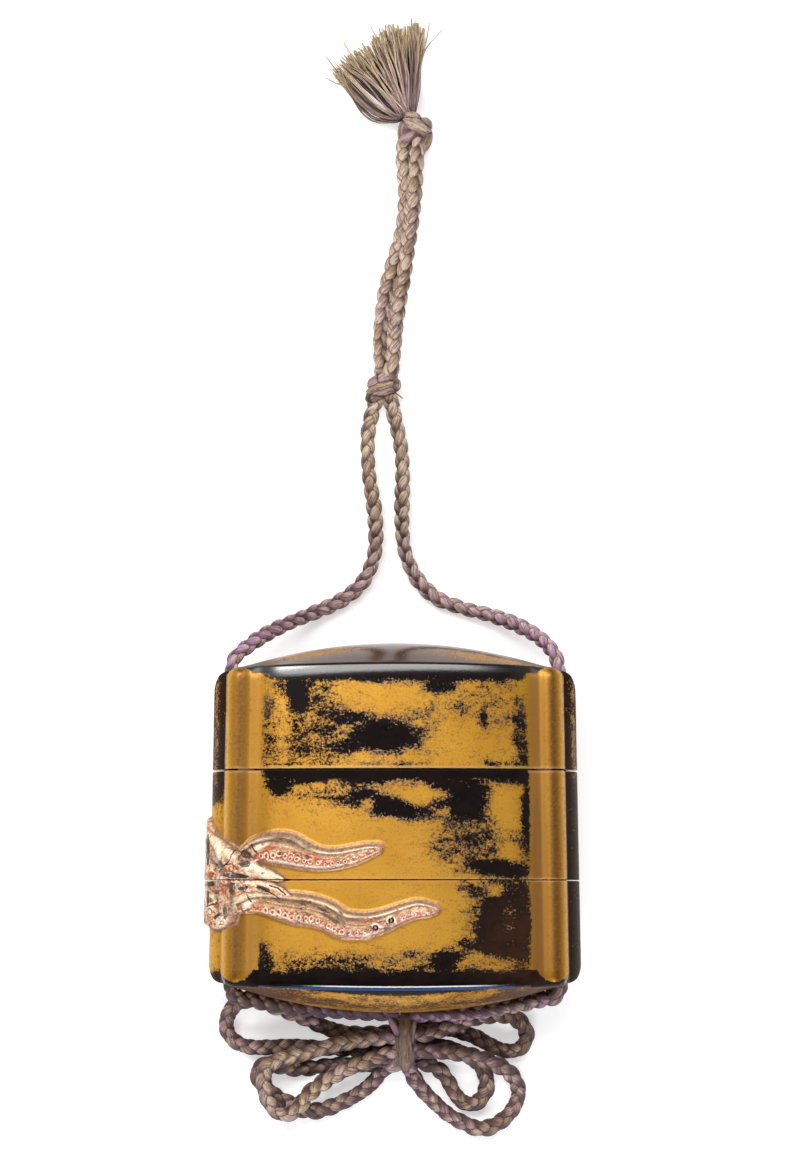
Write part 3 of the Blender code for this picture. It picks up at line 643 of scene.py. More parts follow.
def quarter_profile():
    """Finely spaced (u, w) from the middle of the front to the outermost point of the side."""
    u = np.linspace(0, RIB_CENTRE, 900)
    w = pillow(u) - VALLEY_DEPTH * np.exp(-((u - VALLEY_PLACE) / VALLEY_WIDTH) ** 2)
    arc = RIB_DEPTH + np.sqrt(np.clip(RIB_RADIUS ** 2 - (u - RIB_CENTRE) ** 2, 0, None))
    arc[u < RIB_CENTRE - RIB_RADIUS] = -10
    near = np.clip(0.5 + 0.5 * (arc - w) / 0.5, 0, 1)
    w = w + (arc - w) * near + 0.5 * near * (1 - near) * 0.5
    turn = np.linspace(math.pi / 2, 0, 160)[1:]
    rib = np.stack([RIB_CENTRE + RIB_RADIUS * np.cos(turn), RIB_DEPTH + RIB_RADIUS * np.sin(turn)], 1)
    turn = np.linspace(SIDE_START, 0, 200)
    side = np.stack([SIDE_CENTRE + (HALF_WIDTH - SIDE_CENTRE) * np.cos(turn), SIDE_DEPTH * np.sin(turn)], 1)
    step = np.linspace(rib[-1], side[0], 14)[1:-1]
    return np.concatenate([np.stack([u, w], 1), rib, step, side])


def front_chain(spacing):
    """The front outline from the left side to the right, spaced as spacing(u) says."""
    quarter = quarter_profile()
    whole = np.concatenate([quarter[::-1] * [-1, 1], quarter[1:]])
    middle = (whole[1:] + whole[:-1]) / 2
    steps = np.linalg.norm(np.diff(whole, axis=0), axis=1) / spacing(middle[:, 0])
    count = np.concatenate([[0], np.cumsum(steps)])
    at = np.linspace(0, count[-1], int(round(count[-1])) + 1)
    return np.stack([np.interp(at, count, whole[:, i]) for i in range(2)], 1)


def plain_spacing(u):
    """Closer on the ribs and the side walls than on the face."""
    return np.where(np.abs(u) < RIB_FROM, 0.5, np.where(np.abs(u) < RIB_TO, 0.22, 0.3))


def relief_spacing(u):
    """Fine from the left side to past the tip of the longer arm."""
    return np.where(u < 7.6, np.where(u < -28.9, 0.16, 0.14), plain_spacing(u))


def spread(height):
    """Width at this height over the width at mid height."""
    return 1 - TAPER * height / HALF_WIDTH


class Rings:
    """Closed rings of the case, each the front chain from left to right and the back again."""

    def __init__(self, chain):
        self.chain = chain
        self.u = np.concatenate([chain[:, 0], chain[-2:0:-1, 0]])
        self.w = np.concatenate([chain[:, 1], -chain[-2:0:-1, 1]])
        self.rows = []                # the points of each ring
        self.outer = []               # 1 on the outside, 0 inside

    def add(self, x, y, w, outer):
        """Adds a ring; none of it comes below the floor."""
        points = np.stack([x, np.broadcast_to(y, x.shape), MID_Z + np.maximum(w, -MID_Z)], 1)
        self.rows.append(points)
        self.outer.append(np.full(len(x), float(outer)))

    def face(self, side, height, edge_share=0.0, inset=0.0):
        """A ring of the walls; edge_share bends it towards the curved edge of the domed end."""
        edge = end_edge(self.u)
        y = height + (edge - height) * edge_share
        gap = edge - y
        in_by = 0.0
        if side:
            in_by = (SHOULDER * np.clip(1 - gap / SHOULDER_RUN, 0, 1) ** 2
                     + np.interp(gap, *np.transpose(ARRIS[side])))
        w = self.rounded_ribs(gap) if side else self.w
        w = np.sign(w) * np.maximum(0, np.abs(w) - (in_by + inset) * np.minimum(1, np.abs(w) / SIDE_DEPTH))
        y = side * y if side else y
        x = self.u * spread(y)
        if side:
            x = x - self.corner_pull(gap)
        x = x - inset * np.clip(x / HALF_WIDTH, -1, 1) ** 5
        self.add(x, y, w, True)

    def corner_pull(self, gap):
        """How far in the outer flanks of the ribs come where they meet a domed end."""
        away = np.clip(1 - np.clip(gap, 0, None) / 1.5, 0, 1)
        flank = soft_step(np.abs(self.u), 26.0, 28.3) * soft_step(np.abs(self.w), 5.0, 7.0)
        return np.sign(self.u) * 0.95 * (1 - np.sqrt(1 - away ** 2)) * flank

    def rounded_ribs(self, gap):
        """The outline with its ribs rounded down near the domed end."""
        away = np.clip(1 - np.clip(gap, 0, None) / RIB_END_RUN, 0, 1)
        drop = RIB_END_DROP * (1 - np.sqrt(1 - away ** 2))
        share = np.clip(1 - ((np.abs(self.u) - RIB_CENTRE) / RIB_RADIUS) ** 2, 0, 1)
        return self.w - np.sign(self.w) * drop * share

    def dome(self, side, reach, lower=0.0):
        """A ring over the domed end: reach 1 at its edge, 0 at the crown."""
        w = self.rounded_ribs(0.0)
        drop = SHOULDER + ARRIS[side][0][1]
        w = np.sign(w) * np.maximum(0, np.abs(w) - drop * np.minimum(1, np.abs(w) / SIDE_DEPTH))
        y = crown(self.u) - end_drop(self.u) * reach * reach - lower
        x = self.u * spread(side * y) - self.corner_pull(0.0) * reach ** 4
        self.add(x, side * y, w * reach, True)

    def hollow(self, height, half, inset):
        """A ring of a cavity, lip or socket."""
        part = self.u / HALF_WIDTH
        depth = (pillow(part * half) - inset) * np.sqrt(np.clip(1 - part ** 6, 0, 1))
        self.add(part * half, height, np.sign(self.w) * depth, False)

    def hollow_end(self, side):
        """The cavity's end under a dome, from its crown to its walls."""
        part = self.u / HALF_WIDTH
        x = part * CAVITY_HALF
        w = (pillow(x) - WALL) * np.sqrt(np.clip(1 - part ** 6, 0, 1)) * np.sign(self.w)
        for reach in (0.0, 0.3, 0.6, 0.85, 1.0):
            y = crown(self.u) - end_drop(self.u) * (reach * w / pillow(self.u)) ** 2 - DOME_WALL
            self.add(x, side * y, w * reach, False)

    def socket(self, top, mouth):
        """The socket for the lip of the tier below, from its top down to its mouth."""
        self.hollow(top, SOCKET_HALF, SOCKET_INSET)
        self.hollow(mouth, SOCKET_HALF, SOCKET_INSET)

    def solid(self, name, closed_first, closed_last, shape=None):
        """The rings as one closed mesh; an end ring closes to a line or gets a flat face."""
        count = len(self.u)
        chain = len(self.chain)
        points = np.concatenate(self.rows)
        outer = np.concatenate(self.outer)
        if shape is not None:
            points = shape(points, outer)
        rows = len(self.rows)
        index = np.arange(rows * count).reshape(rows, count)
        mirrored = np.arange(count)
        mirrored[chain:] = np.arange(chain - 2, 0, -1)
        for row, closed in ((0, closed_first), (rows - 1, closed_last)):
            if closed:
                index[row] = index[row][mirrored]
        faces = []
        for a, b in zip(index, index[1:]):
            quads = np.stack([a, np.roll(a, -1), np.roll(b, -1), b], 1)
            for quad in quads.tolist():
                if len(set(quad)) == 4:
                    faces.append(quad)
                else:
                    face = list(dict.fromkeys(quad))
                    if len(face) == 3:
                        faces.append(face)
        if not closed_first:
            faces.append(index[0][::-1].tolist())
        if not closed_last:
            faces.append(index[-1].tolist())
        used = np.unique(np.concatenate([np.array(face) for face in faces]))
        renumber = np.full(len(points), -1)
        renumber[used] = np.arange(len(used))
        faces = [renumber[face].tolist() for face in faces]
        obj = build_mesh(name, points[used], faces, {"outer": outer[used]})
        bm = bmesh.new()
        bm.from_mesh(obj.data)
        bmesh.ops.recalc_face_normals(bm, faces=bm.faces)
        bm.to_mesh(obj.data)
        bm.free()
        return obj


def rise(start, end, step):
    """Heights about step apart, both ends included."""
    return np.linspace(start, end, max(2, int(round(abs(end - start) / step)) + 1))


def lip_rings(seam, foot):
    """Height, half width and inset of the rings of a lip, from its foot over its rounded top."""
    return ((foot, LIP_HALF, LIP_INSET), (seam + LIP_HEIGHT - 0.3, LIP_HALF, LIP_INSET),
            (seam + LIP_HEIGHT, LIP_HALF - 0.2, LIP_INSET + 0.15),
            (seam + LIP_HEIGHT, CAVITY_HALF + 0.1, WALL - 0.1),
            (seam + LIP_HEIGHT - 0.2, CAVITY_HALF, WALL))


def wall_rings(rings, side, start, flat_to, step, end_step):
    """The walls from a seam to the curved edge of a domed end, then over the end."""
    rings.face(0, start * side, inset=RIM)
    for height in rise(start + RIM, flat_to, step):
        rings.face(side, height)
    end_rings(rings, side, flat_to, end_step)


def end_rings(rings, side, flat_to, step):
    """The walls from a flat ring to the curved edge of a domed end, then over the end."""
    lowest_edge = HALF_HEIGHT - END_DROP
    count = int(round((lowest_edge - flat_to) / step))
    last = [1 - gap / (lowest_edge - flat_to) for gap in LAST_RINGS]
    for share in [v for v in np.linspace(0, 1, count + 1)[1:-1] if v < last[0] - 0.02] + last:
        rings.face(side, flat_to, edge_share=share)
    rings.dome(side, 0.995, lower=-0.01)
    rings.dome(side, 0.987, lower=-0.03)
    for reach in DOME_RINGS:
        rings.dome(side, reach)


def cut_channels(obj):
    """Two bores down the sides for the cord."""
    for x in (-CHANNEL_X, CHANNEL_X):
        bpy.ops.mesh.primitive_cylinder_add(
            vertices=40, radius=CHANNEL_RADIUS * MM, depth=80 * MM,
            location=(x * MM, 0, MID_Z * MM), rotation=(math.pi / 2, 0, 0))
        cutter = bpy.context.object
        modifier = obj.modifiers.new("bore", "BOOLEAN")
        modifier.operation = "DIFFERENCE"
        modifier.object = cutter
        modifier.solver = "MANIFOLD"
        bpy.context.view_layer.objects.active = obj
        bpy.ops.object.modifier_apply(modifier=modifier.name)
        mesh = cutter.data
        bpy.data.objects.remove(cutter)
        bpy.data.meshes.remove(mesh)


# ---------------------------------------------------------------- the tentacles in relief

# x, y and half width along each arm, from the root to its tip.
UPPER_ARM = [
    (-25.4, -5.4, 1.1), (-24.2, -4.7, 1.6), (-22.5, -4.0, 1.95), (-19.9, -3.85, 2.35), (-17.6, -4.15, 2.4),
    (-15.3, -4.95, 2.0), (-12.7, -5.6, 1.55), (-9.8, -5.6, 1.3), (-6.8, -5.0, 1.15), (-4.5, -4.3, 0.85),
    (-2.9, -3.9, 0.45)]
LOWER_ARM = [
    (-25.6, -13.4, 1.0), (-23.6, -12.9, 1.4), (-21.6, -12.9, 1.65), (-19.3, -13.35, 1.95),
    (-16.65, -13.85, 2.2), (-14.0, -14.2, 2.2), (-11.4, -15.0, 2.1), (-8.8, -16.35, 1.95),
    (-6.15, -16.7, 1.8), (-3.85, -16.5, 1.65), (-1.25, -15.7, 1.4), (1.05, -14.75, 1.2), (3.7, -13.95, 1.1),
    (5.5, -14.0, 0.85), (6.6, -13.95, 0.45)]
BACK_UPPER_ARM = [
    (-28.0, -7.4, 2.2), (-24.8, -4.2, 2.0), (-21.6, -1.6, 1.8), (-17.6, -0.6, 1.5), (-14.2, -1.6, 1.1),
    (-12.2, -3.2, 0.7)]
BACK_LOWER_ARM = [
    (-28.0, -12.4, 2.3), (-24.6, -13.8, 2.1), (-20.6, -13.4, 1.8), (-16.6, -14.8, 1.4), (-14.4, -16.6, 0.8)]
# each arm, where across it the suckers sit, and whether it is a plain one on the back
ARMS = ((UPPER_ARM, -0.42, False), (LOWER_ARM, -0.60, False), (BACK_UPPER_ARM, -0.5, True),
        (BACK_LOWER_ARM, -0.5, True))
# folds of flesh where the arms come out of the root
FOLDS = [
    [(-32.4, -1.0, 1.2), (-30.6, -3.0, 1.8), (-28.2, -5.0, 2.1), (-25.5, -6.4, 1.7), (-22.6, -7.6, 1.3),
     (-20.0, -8.5, 0.8), (-18.8, -8.9, 0.4)],
    [(-28.0, -8.7, 1.3), (-25.2, -9.6, 1.25), (-22.2, -10.0, 1.15), (-19.7, -10.8, 1.05),
     (-17.7, -12.1, 0.85), (-16.7, -13.2, 0.5)],
    [(-26.9, -15.6, 0.5), (-26.8, -14.0, 0.9), (-25.6, -12.5, 1.1), (-23.6, -11.9, 1.05),
     (-21.2, -12.3, 0.9)],
    [(-32.6, -9.8, 2.1), (-32.0, -12.2, 2.3), (-31.2, -14.6, 2.0), (-29.4, -16.0, 1.3), (-27.8, -15.6, 0.8)],
    [(-32.8, -4.4, 2.4), (-31.6, -7.0, 2.5), (-29.6, -8.9, 2.0)]]
CRACKS = [
    [(-26.4, -3.8), (-27.2, -4.7), (-27.5, -5.7), (-28.6, -6.7), (-29.3, -7.6)],
    [(-23.9, -2.9), (-23.6, -3.8), (-23.0, -4.6)],
    [(-24.7, -11.3), (-24.3, -12.2), (-23.9, -12.6)],
    [(-29.9, -6.3), (-28.6, -6.5), (-27.3, -6.3)],
    [(-31.6, -13.3), (-30.2, -12.9), (-29.4, -12.2)],
    [(-20.9, -9.9), (-19.4, -10.4), (-18.2, -11.4)],
    [(-22.8, -10.2), (-20.9, -11.0), (-19.3, -12.0)]]
# dark marks on the root, partly stains and partly painted shade under the upper arm and where it leaves the
# root, and red pigment: place, half sizes and tilt
STAINS_AND_SHADE = [
    (-25.0, -6.3, 0.95, 0.7, 0), (-26.6, -8.3, 2.4, 0.45, -4), (-29.1, -6.3, 0.4, 0.7, 20),
    (-21.9, -10.5, 1.3, 0.5, -18), (-27.1, -10.4, 0.6, 1.2, 0), (-28.3, -14.5, 0.4, 1.2, 6),
    (-24.7, -4.7, 1.1, 0.6, -30), (-19.3, -7.6, 1.2, 0.35, -24), (-31.4, -4.2, 0.35, 3.0, 0),
    (-31.0, -9.6, 0.8, 0.45, 0), (-29.6, -14.9, 0.9, 0.35, 35), (-25.3, -10.3, 1.0, 0.4, 10),
    (-19.0, -4.6, 0.5, 0.3, 0), (-14.6, -5.2, 0.35, 0.5, 0), (-31.4, -12.0, 0.3, 1.4, 0),
    (-12.0, -14.0, 1.1, 0.25, -22), (-9.2, -15.6, 1.2, 0.25, -32)]
REDS = [
    (-30.1, -7.7, 1.1, 0.6, 0), (-27.8, -6.9, 1.1, 0.7, 0), (-29.1, -10.9, 1.3, 0.6, 10),
    (-29.8, -12.7, 1.1, 0.8, 0), (-28.5, -10.2, 0.8, 0.5, 0), (-30.7, -16.4, 0.8, 0.5, 0),
    (-25.8, -14.8, 1.9, 0.45, 30), (-22.2, -5.4, 1.1, 1.0, 0), (-21.2, -3.8, 1.3, 0.5, 20),
    (-14.0, -5.3, 1.7, 0.7, -15), (-11.4, -5.9, 1.4, 0.5, 0), (-17.6, -4.7, 1.8, 0.5, 0),
    (-19.6, -14.2, 2.0, 0.5, -8), (-13.5, -15.6, 1.6, 0.4, -15), (-4.2, -15.9, 1.5, 0.4, 15)]
OLIVES = [(-18.2, -2.3, 2.6, 0.5, -10), (-14.6, -3.5, 1.3, 0.3, -28), (-10.9, -15.2, 2.2, 0.35, -30),
          (-6.0, -15.5, 2.4, 0.3, 0)]
CREAMS = [(-29.7, -3.6, 1.0, 2.2, 12), (-29.2, -15.4, 1.7, 1.5, 0), (-22.9, -7.5, 3.0, 0.8, -24),
          (-30.0, -12.0, 0.9, 1.0, 0), (-24.5, -12.9, 1.3, 0.5, 30), (-22.2, -3.2, 1.9, 0.55, 30)]
RINGS = [(-3.2, -16.95), (-0.6, -15.72)]   # two suckers ringed in black
ARM_STEP = 0.12               # between the points of an arm's midline
ARM_RISE = 0.55               # height of an arm over its half width
FOLD_RISE = 0.42
SKIRT_RISE = 0.17
SKIRT_ABOVE = 1.0
SKIRT_BELOW = 0.5
ROOT_PIVOT = -20.0
SUCKER_PITCH = 1.12
NO_SUCKER = 3.0               # radii from the nearest sucker, where there is none


def along_arm(points, arm):
    """For each point: way along the arm from 0 to 1, distance to the left of it over its half width,
    that half width, and the way along in millimetres."""
    route = smooth_route(arm, ARM_STEP)
    tangent = np.gradient(route[:, :2], axis=0)
    tangent /= np.linalg.norm(tangent, axis=1, keepdims=True)
    result = np.zeros((len(points), 4))
    result[:, 1] = 99
    result[:, 2] = 1
    low = route[:, :2].min(0) - 5
    high = route[:, :2].max(0) + 5
    near = np.nonzero(((points > low) & (points < high)).all(1))[0]
    for chunk in np.array_split(near, max(1, len(near) // 4000)):
        if not len(chunk):
            continue
        offset = points[chunk][:, None] - route[None, :, :2]
        closest = (offset ** 2).sum(2).argmin(1)
        gap = offset[np.arange(len(chunk)), closest]
        t = tangent[closest]
        side = t[:, 0] * gap[:, 1] - t[:, 1] * gap[:, 0]
        ahead = (gap * t).sum(1)
        distance = np.hypot(gap[:, 0], gap[:, 1]) * np.where(side < 0, -1, 1)
        half = route[closest, 2]
        share = closest / (len(route) - 1)
        result[chunk] = np.stack([share, distance / half, half, closest * ARM_STEP + ahead], 1)
    return result


def arm_section(q, share, plain, row):
    """Height across an arm over its rise: a ridge and groove above, a shelf for the suckers below."""
    body = np.clip(1 - q * q, 0, 1) ** 0.5
    if not plain:
        body = body + 0.24 * bell(q, 0.84, 0.09) - 0.34 * bell(q, 0.62, 0.13) * (1 - 0.4 * share)
        body = body - 0.20 * bell(q, row, 0.22) + 0.10 * bell(q, -0.88, 0.08)
        body = body + 0.10 * bell(q, 0.15, 0.18)
    return np.where(np.abs(q) < 1, np.clip(body, 0.05, None), 0)


def sucker_distance(way, q, half, length, row):
    """Distance from the nearest sucker's middle, over its radius."""
    index = np.round(way / SUCKER_PITCH)
    centre = (index + 0.26 * (scatter(index, 9.0) - 0.5)) * SUCKER_PITCH
    reach = 0.62 * np.clip(1.2 - centre / length * 0.85, 0.35, 1) * (0.66 + 0.46 * scatter(index, 2.0))
    apart = np.hypot((way - centre) * (1 + 0.3 * scatter(index, 6.0)),
                     (q - row) * half - 0.45 * (scatter(index, 4.0) - 0.5))
    inside = (centre > 0.13 * length) & (centre < 0.93 * length)
    return np.where(inside, apart / reach, 9.0)


def polyline_distance(points, line):
    """Distance of each point from a line of straight pieces."""
    best = np.full(len(points), 99.0)
    for a, b in zip(np.array(line, float), np.array(line[1:], float)):
        t = np.clip(((points - a) @ (b - a)) / ((b - a) @ (b - a)), 0, 1)
        best = np.minimum(best, np.linalg.norm(points - a - t[:, None] * (b - a), axis=1))
    return best


def in_oval(x, y, cx, cy, half_width, half_height, tilt):
    """Where points lie along the two axes of a tilted oval, with its edge at 1."""
    c, s = math.cos(math.radians(tilt)), math.sin(math.radians(tilt))
    dx, dy = x - cx, y - cy
    return (dx * c + dy * s) / half_width, (dy * c - dx * s) / half_height


def marks(x, y, ovals):
    """How far inside any of the ovals a point lies, from 0 to 1."""
    return np.max([1 - soft_step(np.hypot(*in_oval(x, y, *oval)), 0.35, 1.5) for oval in ovals], axis=0)


def root_depth(x, y):
    """How far inside the outline of the root a point lies, in millimetres."""
    top = np.interp(x, (-34, -32.2, -31.2, -30.3, -28.9, -26.5, -24.2, -22.6),
                    (4.2, 3.6, 3.0, 0.6, -1.5, -3.2, -4.8, -8.6))
    bottom = np.interp(x, (-34, -31.3, -26.7, -24.8, -22.6), (-17.4, -16.9, -15.4, -13.3, -10.4))
    return np.where(x < -22.6, np.minimum(top - y, y - bottom), -9)


RELIEF_KEYS = ("flesh", "cream_and_highlight", "red", "groove", "crack", "halo", "stain_and_shade", "mid", "lilac")


def near_relief(x, y):
    """Whether points are so near the relief that it has to be worked out there."""
    return (x < 9) & (y < 7.5) & (y > -20)


class Relief:
    """The raised relief at points of the outside: its height and the fields its finish needs."""

    def __init__(self, points):
        self.x, self.y, z = points.T
        self.front = z > MID_Z
        self.flat = points[:, :2]
        self.count = len(points)
        self.fields = {key: np.zeros(self.count) for key in ("rise", "under") + RELIEF_KEYS}
        self.fields["sucker"] = np.full(self.count, NO_SUCKER)
        self.depth = root_depth(self.x, self.y)
        self.near = np.nonzero(near_relief(self.x, self.y))[0]
        self.lumps = np.zeros(self.count)
        self.fine = np.zeros(self.count)
        self.lumps[self.near] = rough_field(points[self.near], 0.5, 3)
        self.fine[self.near] = rough_field(points[self.near], 1.6, 5)

    def lift(self, key, value):
        """Raises a field wherever the value is higher."""
        self.fields[key] = np.maximum(self.fields[key], value)

    def lay(self, key, where, value):
        """Lays the value over a field in one area."""
        self.fields[key] = np.where(where, value, self.fields[key])

    def add_root(self):
        """The lumpy root that the arms come out of."""
        depth = self.depth
        root = soft_step(depth, 0.0, 0.9)
        self.fields["rise"] = 0.36 * root + 0.30 * soft_step(depth, 0.9, 1.9) * (1 + 0.5 * self.lumps)
        self.fields["halo"] = np.where(depth > -0.6, soft_step(depth, -0.6, 0.3), 0)
        self.fields["flesh"] = soft_step(depth + 0.35 * self.fine, 1.15, 1.55)

    def add_fold(self, fold):
        """One rounded fold of skin over the root."""
        _, q, half, _ = along_arm(self.flat, fold).T
        q = np.where(self.front | (self.x < -29), q, 99)
        dome = np.sqrt(np.clip(1 - q * q, 0, 1))
        height = FOLD_RISE * half * dome + 0.36 * (np.abs(q) < 1)
        self.lift("rise", height + 0.30 * (np.abs(q) < 1) * soft_step(-self.x, 21, 25))
        inside = 1 - soft_step(np.abs(q), 0.92, 1.0)
        self.lift("flesh", inside)
        # painted highlight along the upper part of the fold
        self.lift("cream_and_highlight", 0.7 * inside * bell(q, 0.30, 0.30))
        # the edges of the fold are darkened: painted shade in the crease
        self.lift("groove", 0.8 * bell(np.abs(q), 0.97, 0.10) * (half > 0.6))
        out = (np.abs(q) - 1) * half
        self.lift("halo", np.where(out > -0.2, 1 - soft_step(out, 0.1, 0.7), 0))

    def add_arm(self, arm, row, plain):
        """One arm with its ridges, groove and row of suckers, on a low skirt; plain ones are behind."""
        here = ~self.front if plain else self.front
        share, q, half, way = along_arm(self.flat, arm).T
        q = np.where(here, q, 99)
        body = np.abs(q) < 1
        self.lift("rise", ARM_RISE * half * arm_section(q, share, plain, row) + 0.12 * body)
        self.lift("flesh", np.where(body, 1.0, 0.0))
        late = 0.45 + 0.55 * soft_step(share, 0.28, 0.45)
        # painted highlights along the upper ridge, the lower edge and the middle of the arm
        ridge = 1.15 * late * bell(q, 0.80, 0.105) + 0.70 * bell(q, -0.84, 0.11) + 0.20 * bell(q, -0.1, 0.10)
        if not plain:
            strong, lilac_from = (1.25, 0.45) if arm is LOWER_ARM else (0.8, 0.8)
            self.lay("mid", body, bell(q, 0.20, 0.40) * strong * (1 - soft_step(share, 0.72, 0.95)))
            self.lay("lilac", body, bell(q, -1.0, 0.34) * soft_step(share, lilac_from, 0.75))
            # painted shadow on the gold under the arm
            gap = np.where((q < 0) & (q > -9), (-q - 1) * half, 9)
            self.lift("under", 1 - soft_step(gap, 0.25, 1.25))
            suckers = sucker_distance(way, q, half, smooth_length(arm), row)
            self.lay("sucker", body, np.minimum(self.fields["sucker"], suckers))
        self.lay("cream_and_highlight", body, ridge)
        self.lay("red", body, bell(q, row, 0.30) * (0.35 if plain else 1.0))
        # the groove under the ridge is darkened, partly its own dark paint and partly painted shade
        self.lay("groove", body, bell(q, 0.60, 0.13) * (1 - 0.55 * share))
        out = (np.abs(q) - 1) * half
        reach = np.where(q > 0, SKIRT_ABOVE, SKIRT_BELOW) * np.clip(0.35 + 2.5 * share, 0, 1)
        skirt = SKIRT_RISE * (1 - soft_step(out, 0.35 * reach, 1.1 * reach))
        skirt = skirt + 0.03 * bell(out, 0.62 * reach, 0.25)
        self.lift("rise", np.where(here & (out > -0.01) & (out < 2 * reach), skirt, 0))
        self.lift("halo", np.where(here & (out > -0.3), 1 - soft_step(out, 0.25 * reach, 1.35 * reach), 0))

    def add_cracks(self):
        """Rough skin, raised sucker rims, and the cracks and ringed holes cut into the relief."""
        fields = self.fields
        rough = 0.08 * self.fine + 0.16 * self.lumps * soft_step(-self.x, 21, 25)
        fields["rise"] += np.where(fields["flesh"] > 0.5, rough, 0)
        ring = bell(fields["sucker"], 0.78, 0.26)
        rims = 0.13 * ring - 0.10 * bell(fields["sucker"], 0, 0.4)
        fields["rise"] += np.where(fields["sucker"] < 2, rims, 0)
        cracks = np.full(self.count, 9.0)
        for line in CRACKS:
            cracks[self.near] = np.minimum(cracks[self.near], polyline_distance(self.flat[self.near], line))
        cracks += 0.10 * np.abs(self.fine)
        cracked = self.front & (fields["flesh"] > 0.3)
        fields["crack"] = np.where(cracked, 1 - soft_step(cracks, 0.05, 0.22), 0)
        for cx, cy in RINGS:
            away = np.where(self.front, np.hypot(self.x - cx, self.y - cy), 9)
            self.lift("crack", 1.2 * bell(away, 0.34, 0.15))
            self.lift("cream_and_highlight", bell(away, 0.66, 0.16))
        fields["rise"] -= 0.16 * fields["crack"]

    def add_marks(self):
        """Cream, brown, olive and red marks, the dark brown ones partly painted shade, and dark lines along
        the lumps of the root.
        """
        x, y = self.x, self.y
        fields = self.fields
        fleshy = fields["flesh"] > 0.5
        seen = self.front & fleshy
        self.lift("cream_and_highlight", np.where(seen, 0.9 * marks(x, y, CREAMS), 0))
        fields["stain_and_shade"] = np.where(seen, marks(x, y, STAINS_AND_SHADE), 0)
        self.lift("groove", np.where(seen, 0.85 * marks(x, y, OLIVES), 0))
        fields["rise"] -= 0.22 * fields["stain_and_shade"] * soft_step(-x, 18, 22)
        # dark lines along the lumps of the lower root
        darkening = 0.9 * bell(self.lumps, 0.05, 0.07) * soft_step(-x, 22.5, 25.0) * fleshy * (y < -3.5)
        self.lift("groove", darkening)
        stripe = bell(x, -27.1, 0.55) * soft_step(-y, 9.0, 9.6) * (1 - soft_step(-y, 15.2, 16.4)) * self.front
        self.lift("groove", 0.7 * stripe)
        row = bell(y, -8.9, 1.9) * soft_step(-x, 20, 25.5) + bell(y, -15.4, 1.2) * soft_step(-x, 26, 29)
        self.lift("red", row * fleshy * soft_step(self.fine, -0.25, 0.3))
        self.lift("red", np.where(seen, 1.2 * marks(x, y, REDS), 0))

    def level_side(self):
        """Round the side wall, the relief keeps to one even height."""
        side = soft_step(-self.x, 30.0, 30.9)
        rise = self.fields["rise"]
        side_rise = 0.95 * soft_step(self.depth, 0.0, 0.8) + 0.22 * np.clip(rise - 1.1, -0.6, 0.6)
        self.fields["rise"] = rise * (1 - side) + side * np.where(self.depth > 0, side_rise, 0)


def relief_fields(points):
    """Height of the relief and the fields its finish needs, at points of the outside."""
    relief = Relief(points)
    relief.add_root()
    for fold in FOLDS:
        relief.add_fold(fold)
    for arm, row, plain in ARMS:
        relief.add_arm(arm, row, plain)
    relief.add_cracks()
    relief.add_marks()
    relief.level_side()
    return relief.fields


def smooth_length(arm):
    """Length of an arm on the face, once its route is smoothed."""
    return path_length(smooth_route(arm, ARM_STEP)[:, :2])


def with_relief(points, outer):
    """The outside points moved out by the relief."""
    points = points.copy()
    near = np.nonzero((outer > 0) & near_relief(points[:, 0], points[:, 1]))[0]
    rise_by = relief_fields(points[near])["rise"]
    x = points[near, 0]
    w = points[near, 2] - MID_Z
    direction = np.stack([np.minimum(0, x - ROOT_PIVOT), np.zeros(len(x)), w], 1)
    direction /= np.linalg.norm(direction, axis=1, keepdims=True)
    points[near] += direction * rise_by[:, None]
    points[near, 2] = np.maximum(points[near, 2], 0.0)
    return points


# ---------------------------------------------------------------- wear of the gold


# Patches of each front: place, half width, half height, tilt, and how far the gold is worn there; where
# that is negative, how far it is kept.
LID_PATCHES = (
    (-14.5, 17.5, 13.0, 11.0, 0, 0.56), (5.0, 18.0, 22.0, 8.0, 0, 0.44), (16.5, 23.5, 5.0, 2.2, 0, 0.45),
    (-0.5, 21.6, 8.5, 2.5, 0, -0.8), (11.5, 14.2, 5.6, 4.0, 0, -0.7), (-19.0, 18.0, 1.8, 4.0, 0, -0.5),
    (-16.2, 22.0, 2.4, 4.4, 8, 1), (-12.6, 20.2, 2.6, 1.9, 0, 0.62), (-14.4, 23.5, 1.6, 1.0, 0, 0.8),
    (7.5, 23.2, 3.4, 1.4, 0, 0.85), (-1.6, 15.0, 7.2, 3.4, 0, 1), (-7.4, 17.8, 4.2, 1.5, 4, 0.85),
    (-8.2, 13.4, 4.0, 1.7, 0, 0.8), (4.5, 18.6, 3.6, 1.2, 14, 0.62), (-21.2, 20.6, 1.7, 1.5, 0, 0.60),
    (-20.9, 14.3, 2.0, 1.8, 0, 0.66), (14.7, 18.0, 1.1, 2.2, 8, 0.72), (21.0, 15.6, 1.9, 6.6, 5, 0.66),
    (21.8, 12.0, 1.6, 3.0, 0, 0.75))
MIDDLE_PATCHES = (
    (-2.0, 5.4, 24.0, 4.4, -6, 0.52), (12.6, -2.2, 8.0, 6.5, 0, 0.58), (-1.6, 3.6, 10.0, 2.5, -13, 0.95),
    (8.0, 5.6, 5.0, 3.2, 0, 0.9), (3.9, 5.2, 5.2, 1.4, -2, -0.85), (-4.5, 3.6, 1.4, 1.3, -30, -0.5),
    (12.2, 4.4, 4.6, 4.8, 0, 1), (18.8, 3.2, 2.6, 6.6, 4, -0.9), (22.4, 1.6, 1.5, 8.4, 0, 0.95),
    (20.6, -3.0, 2.2, 2.8, 0, 0.55), (17.4, -7.0, 7.0, 2.0, -4, 0.95), (19.4, -4.4, 1.5, 1.6, 0, -0.6),
    (-19.0, 6.9, 3.0, 2.1, 0, 0.93))
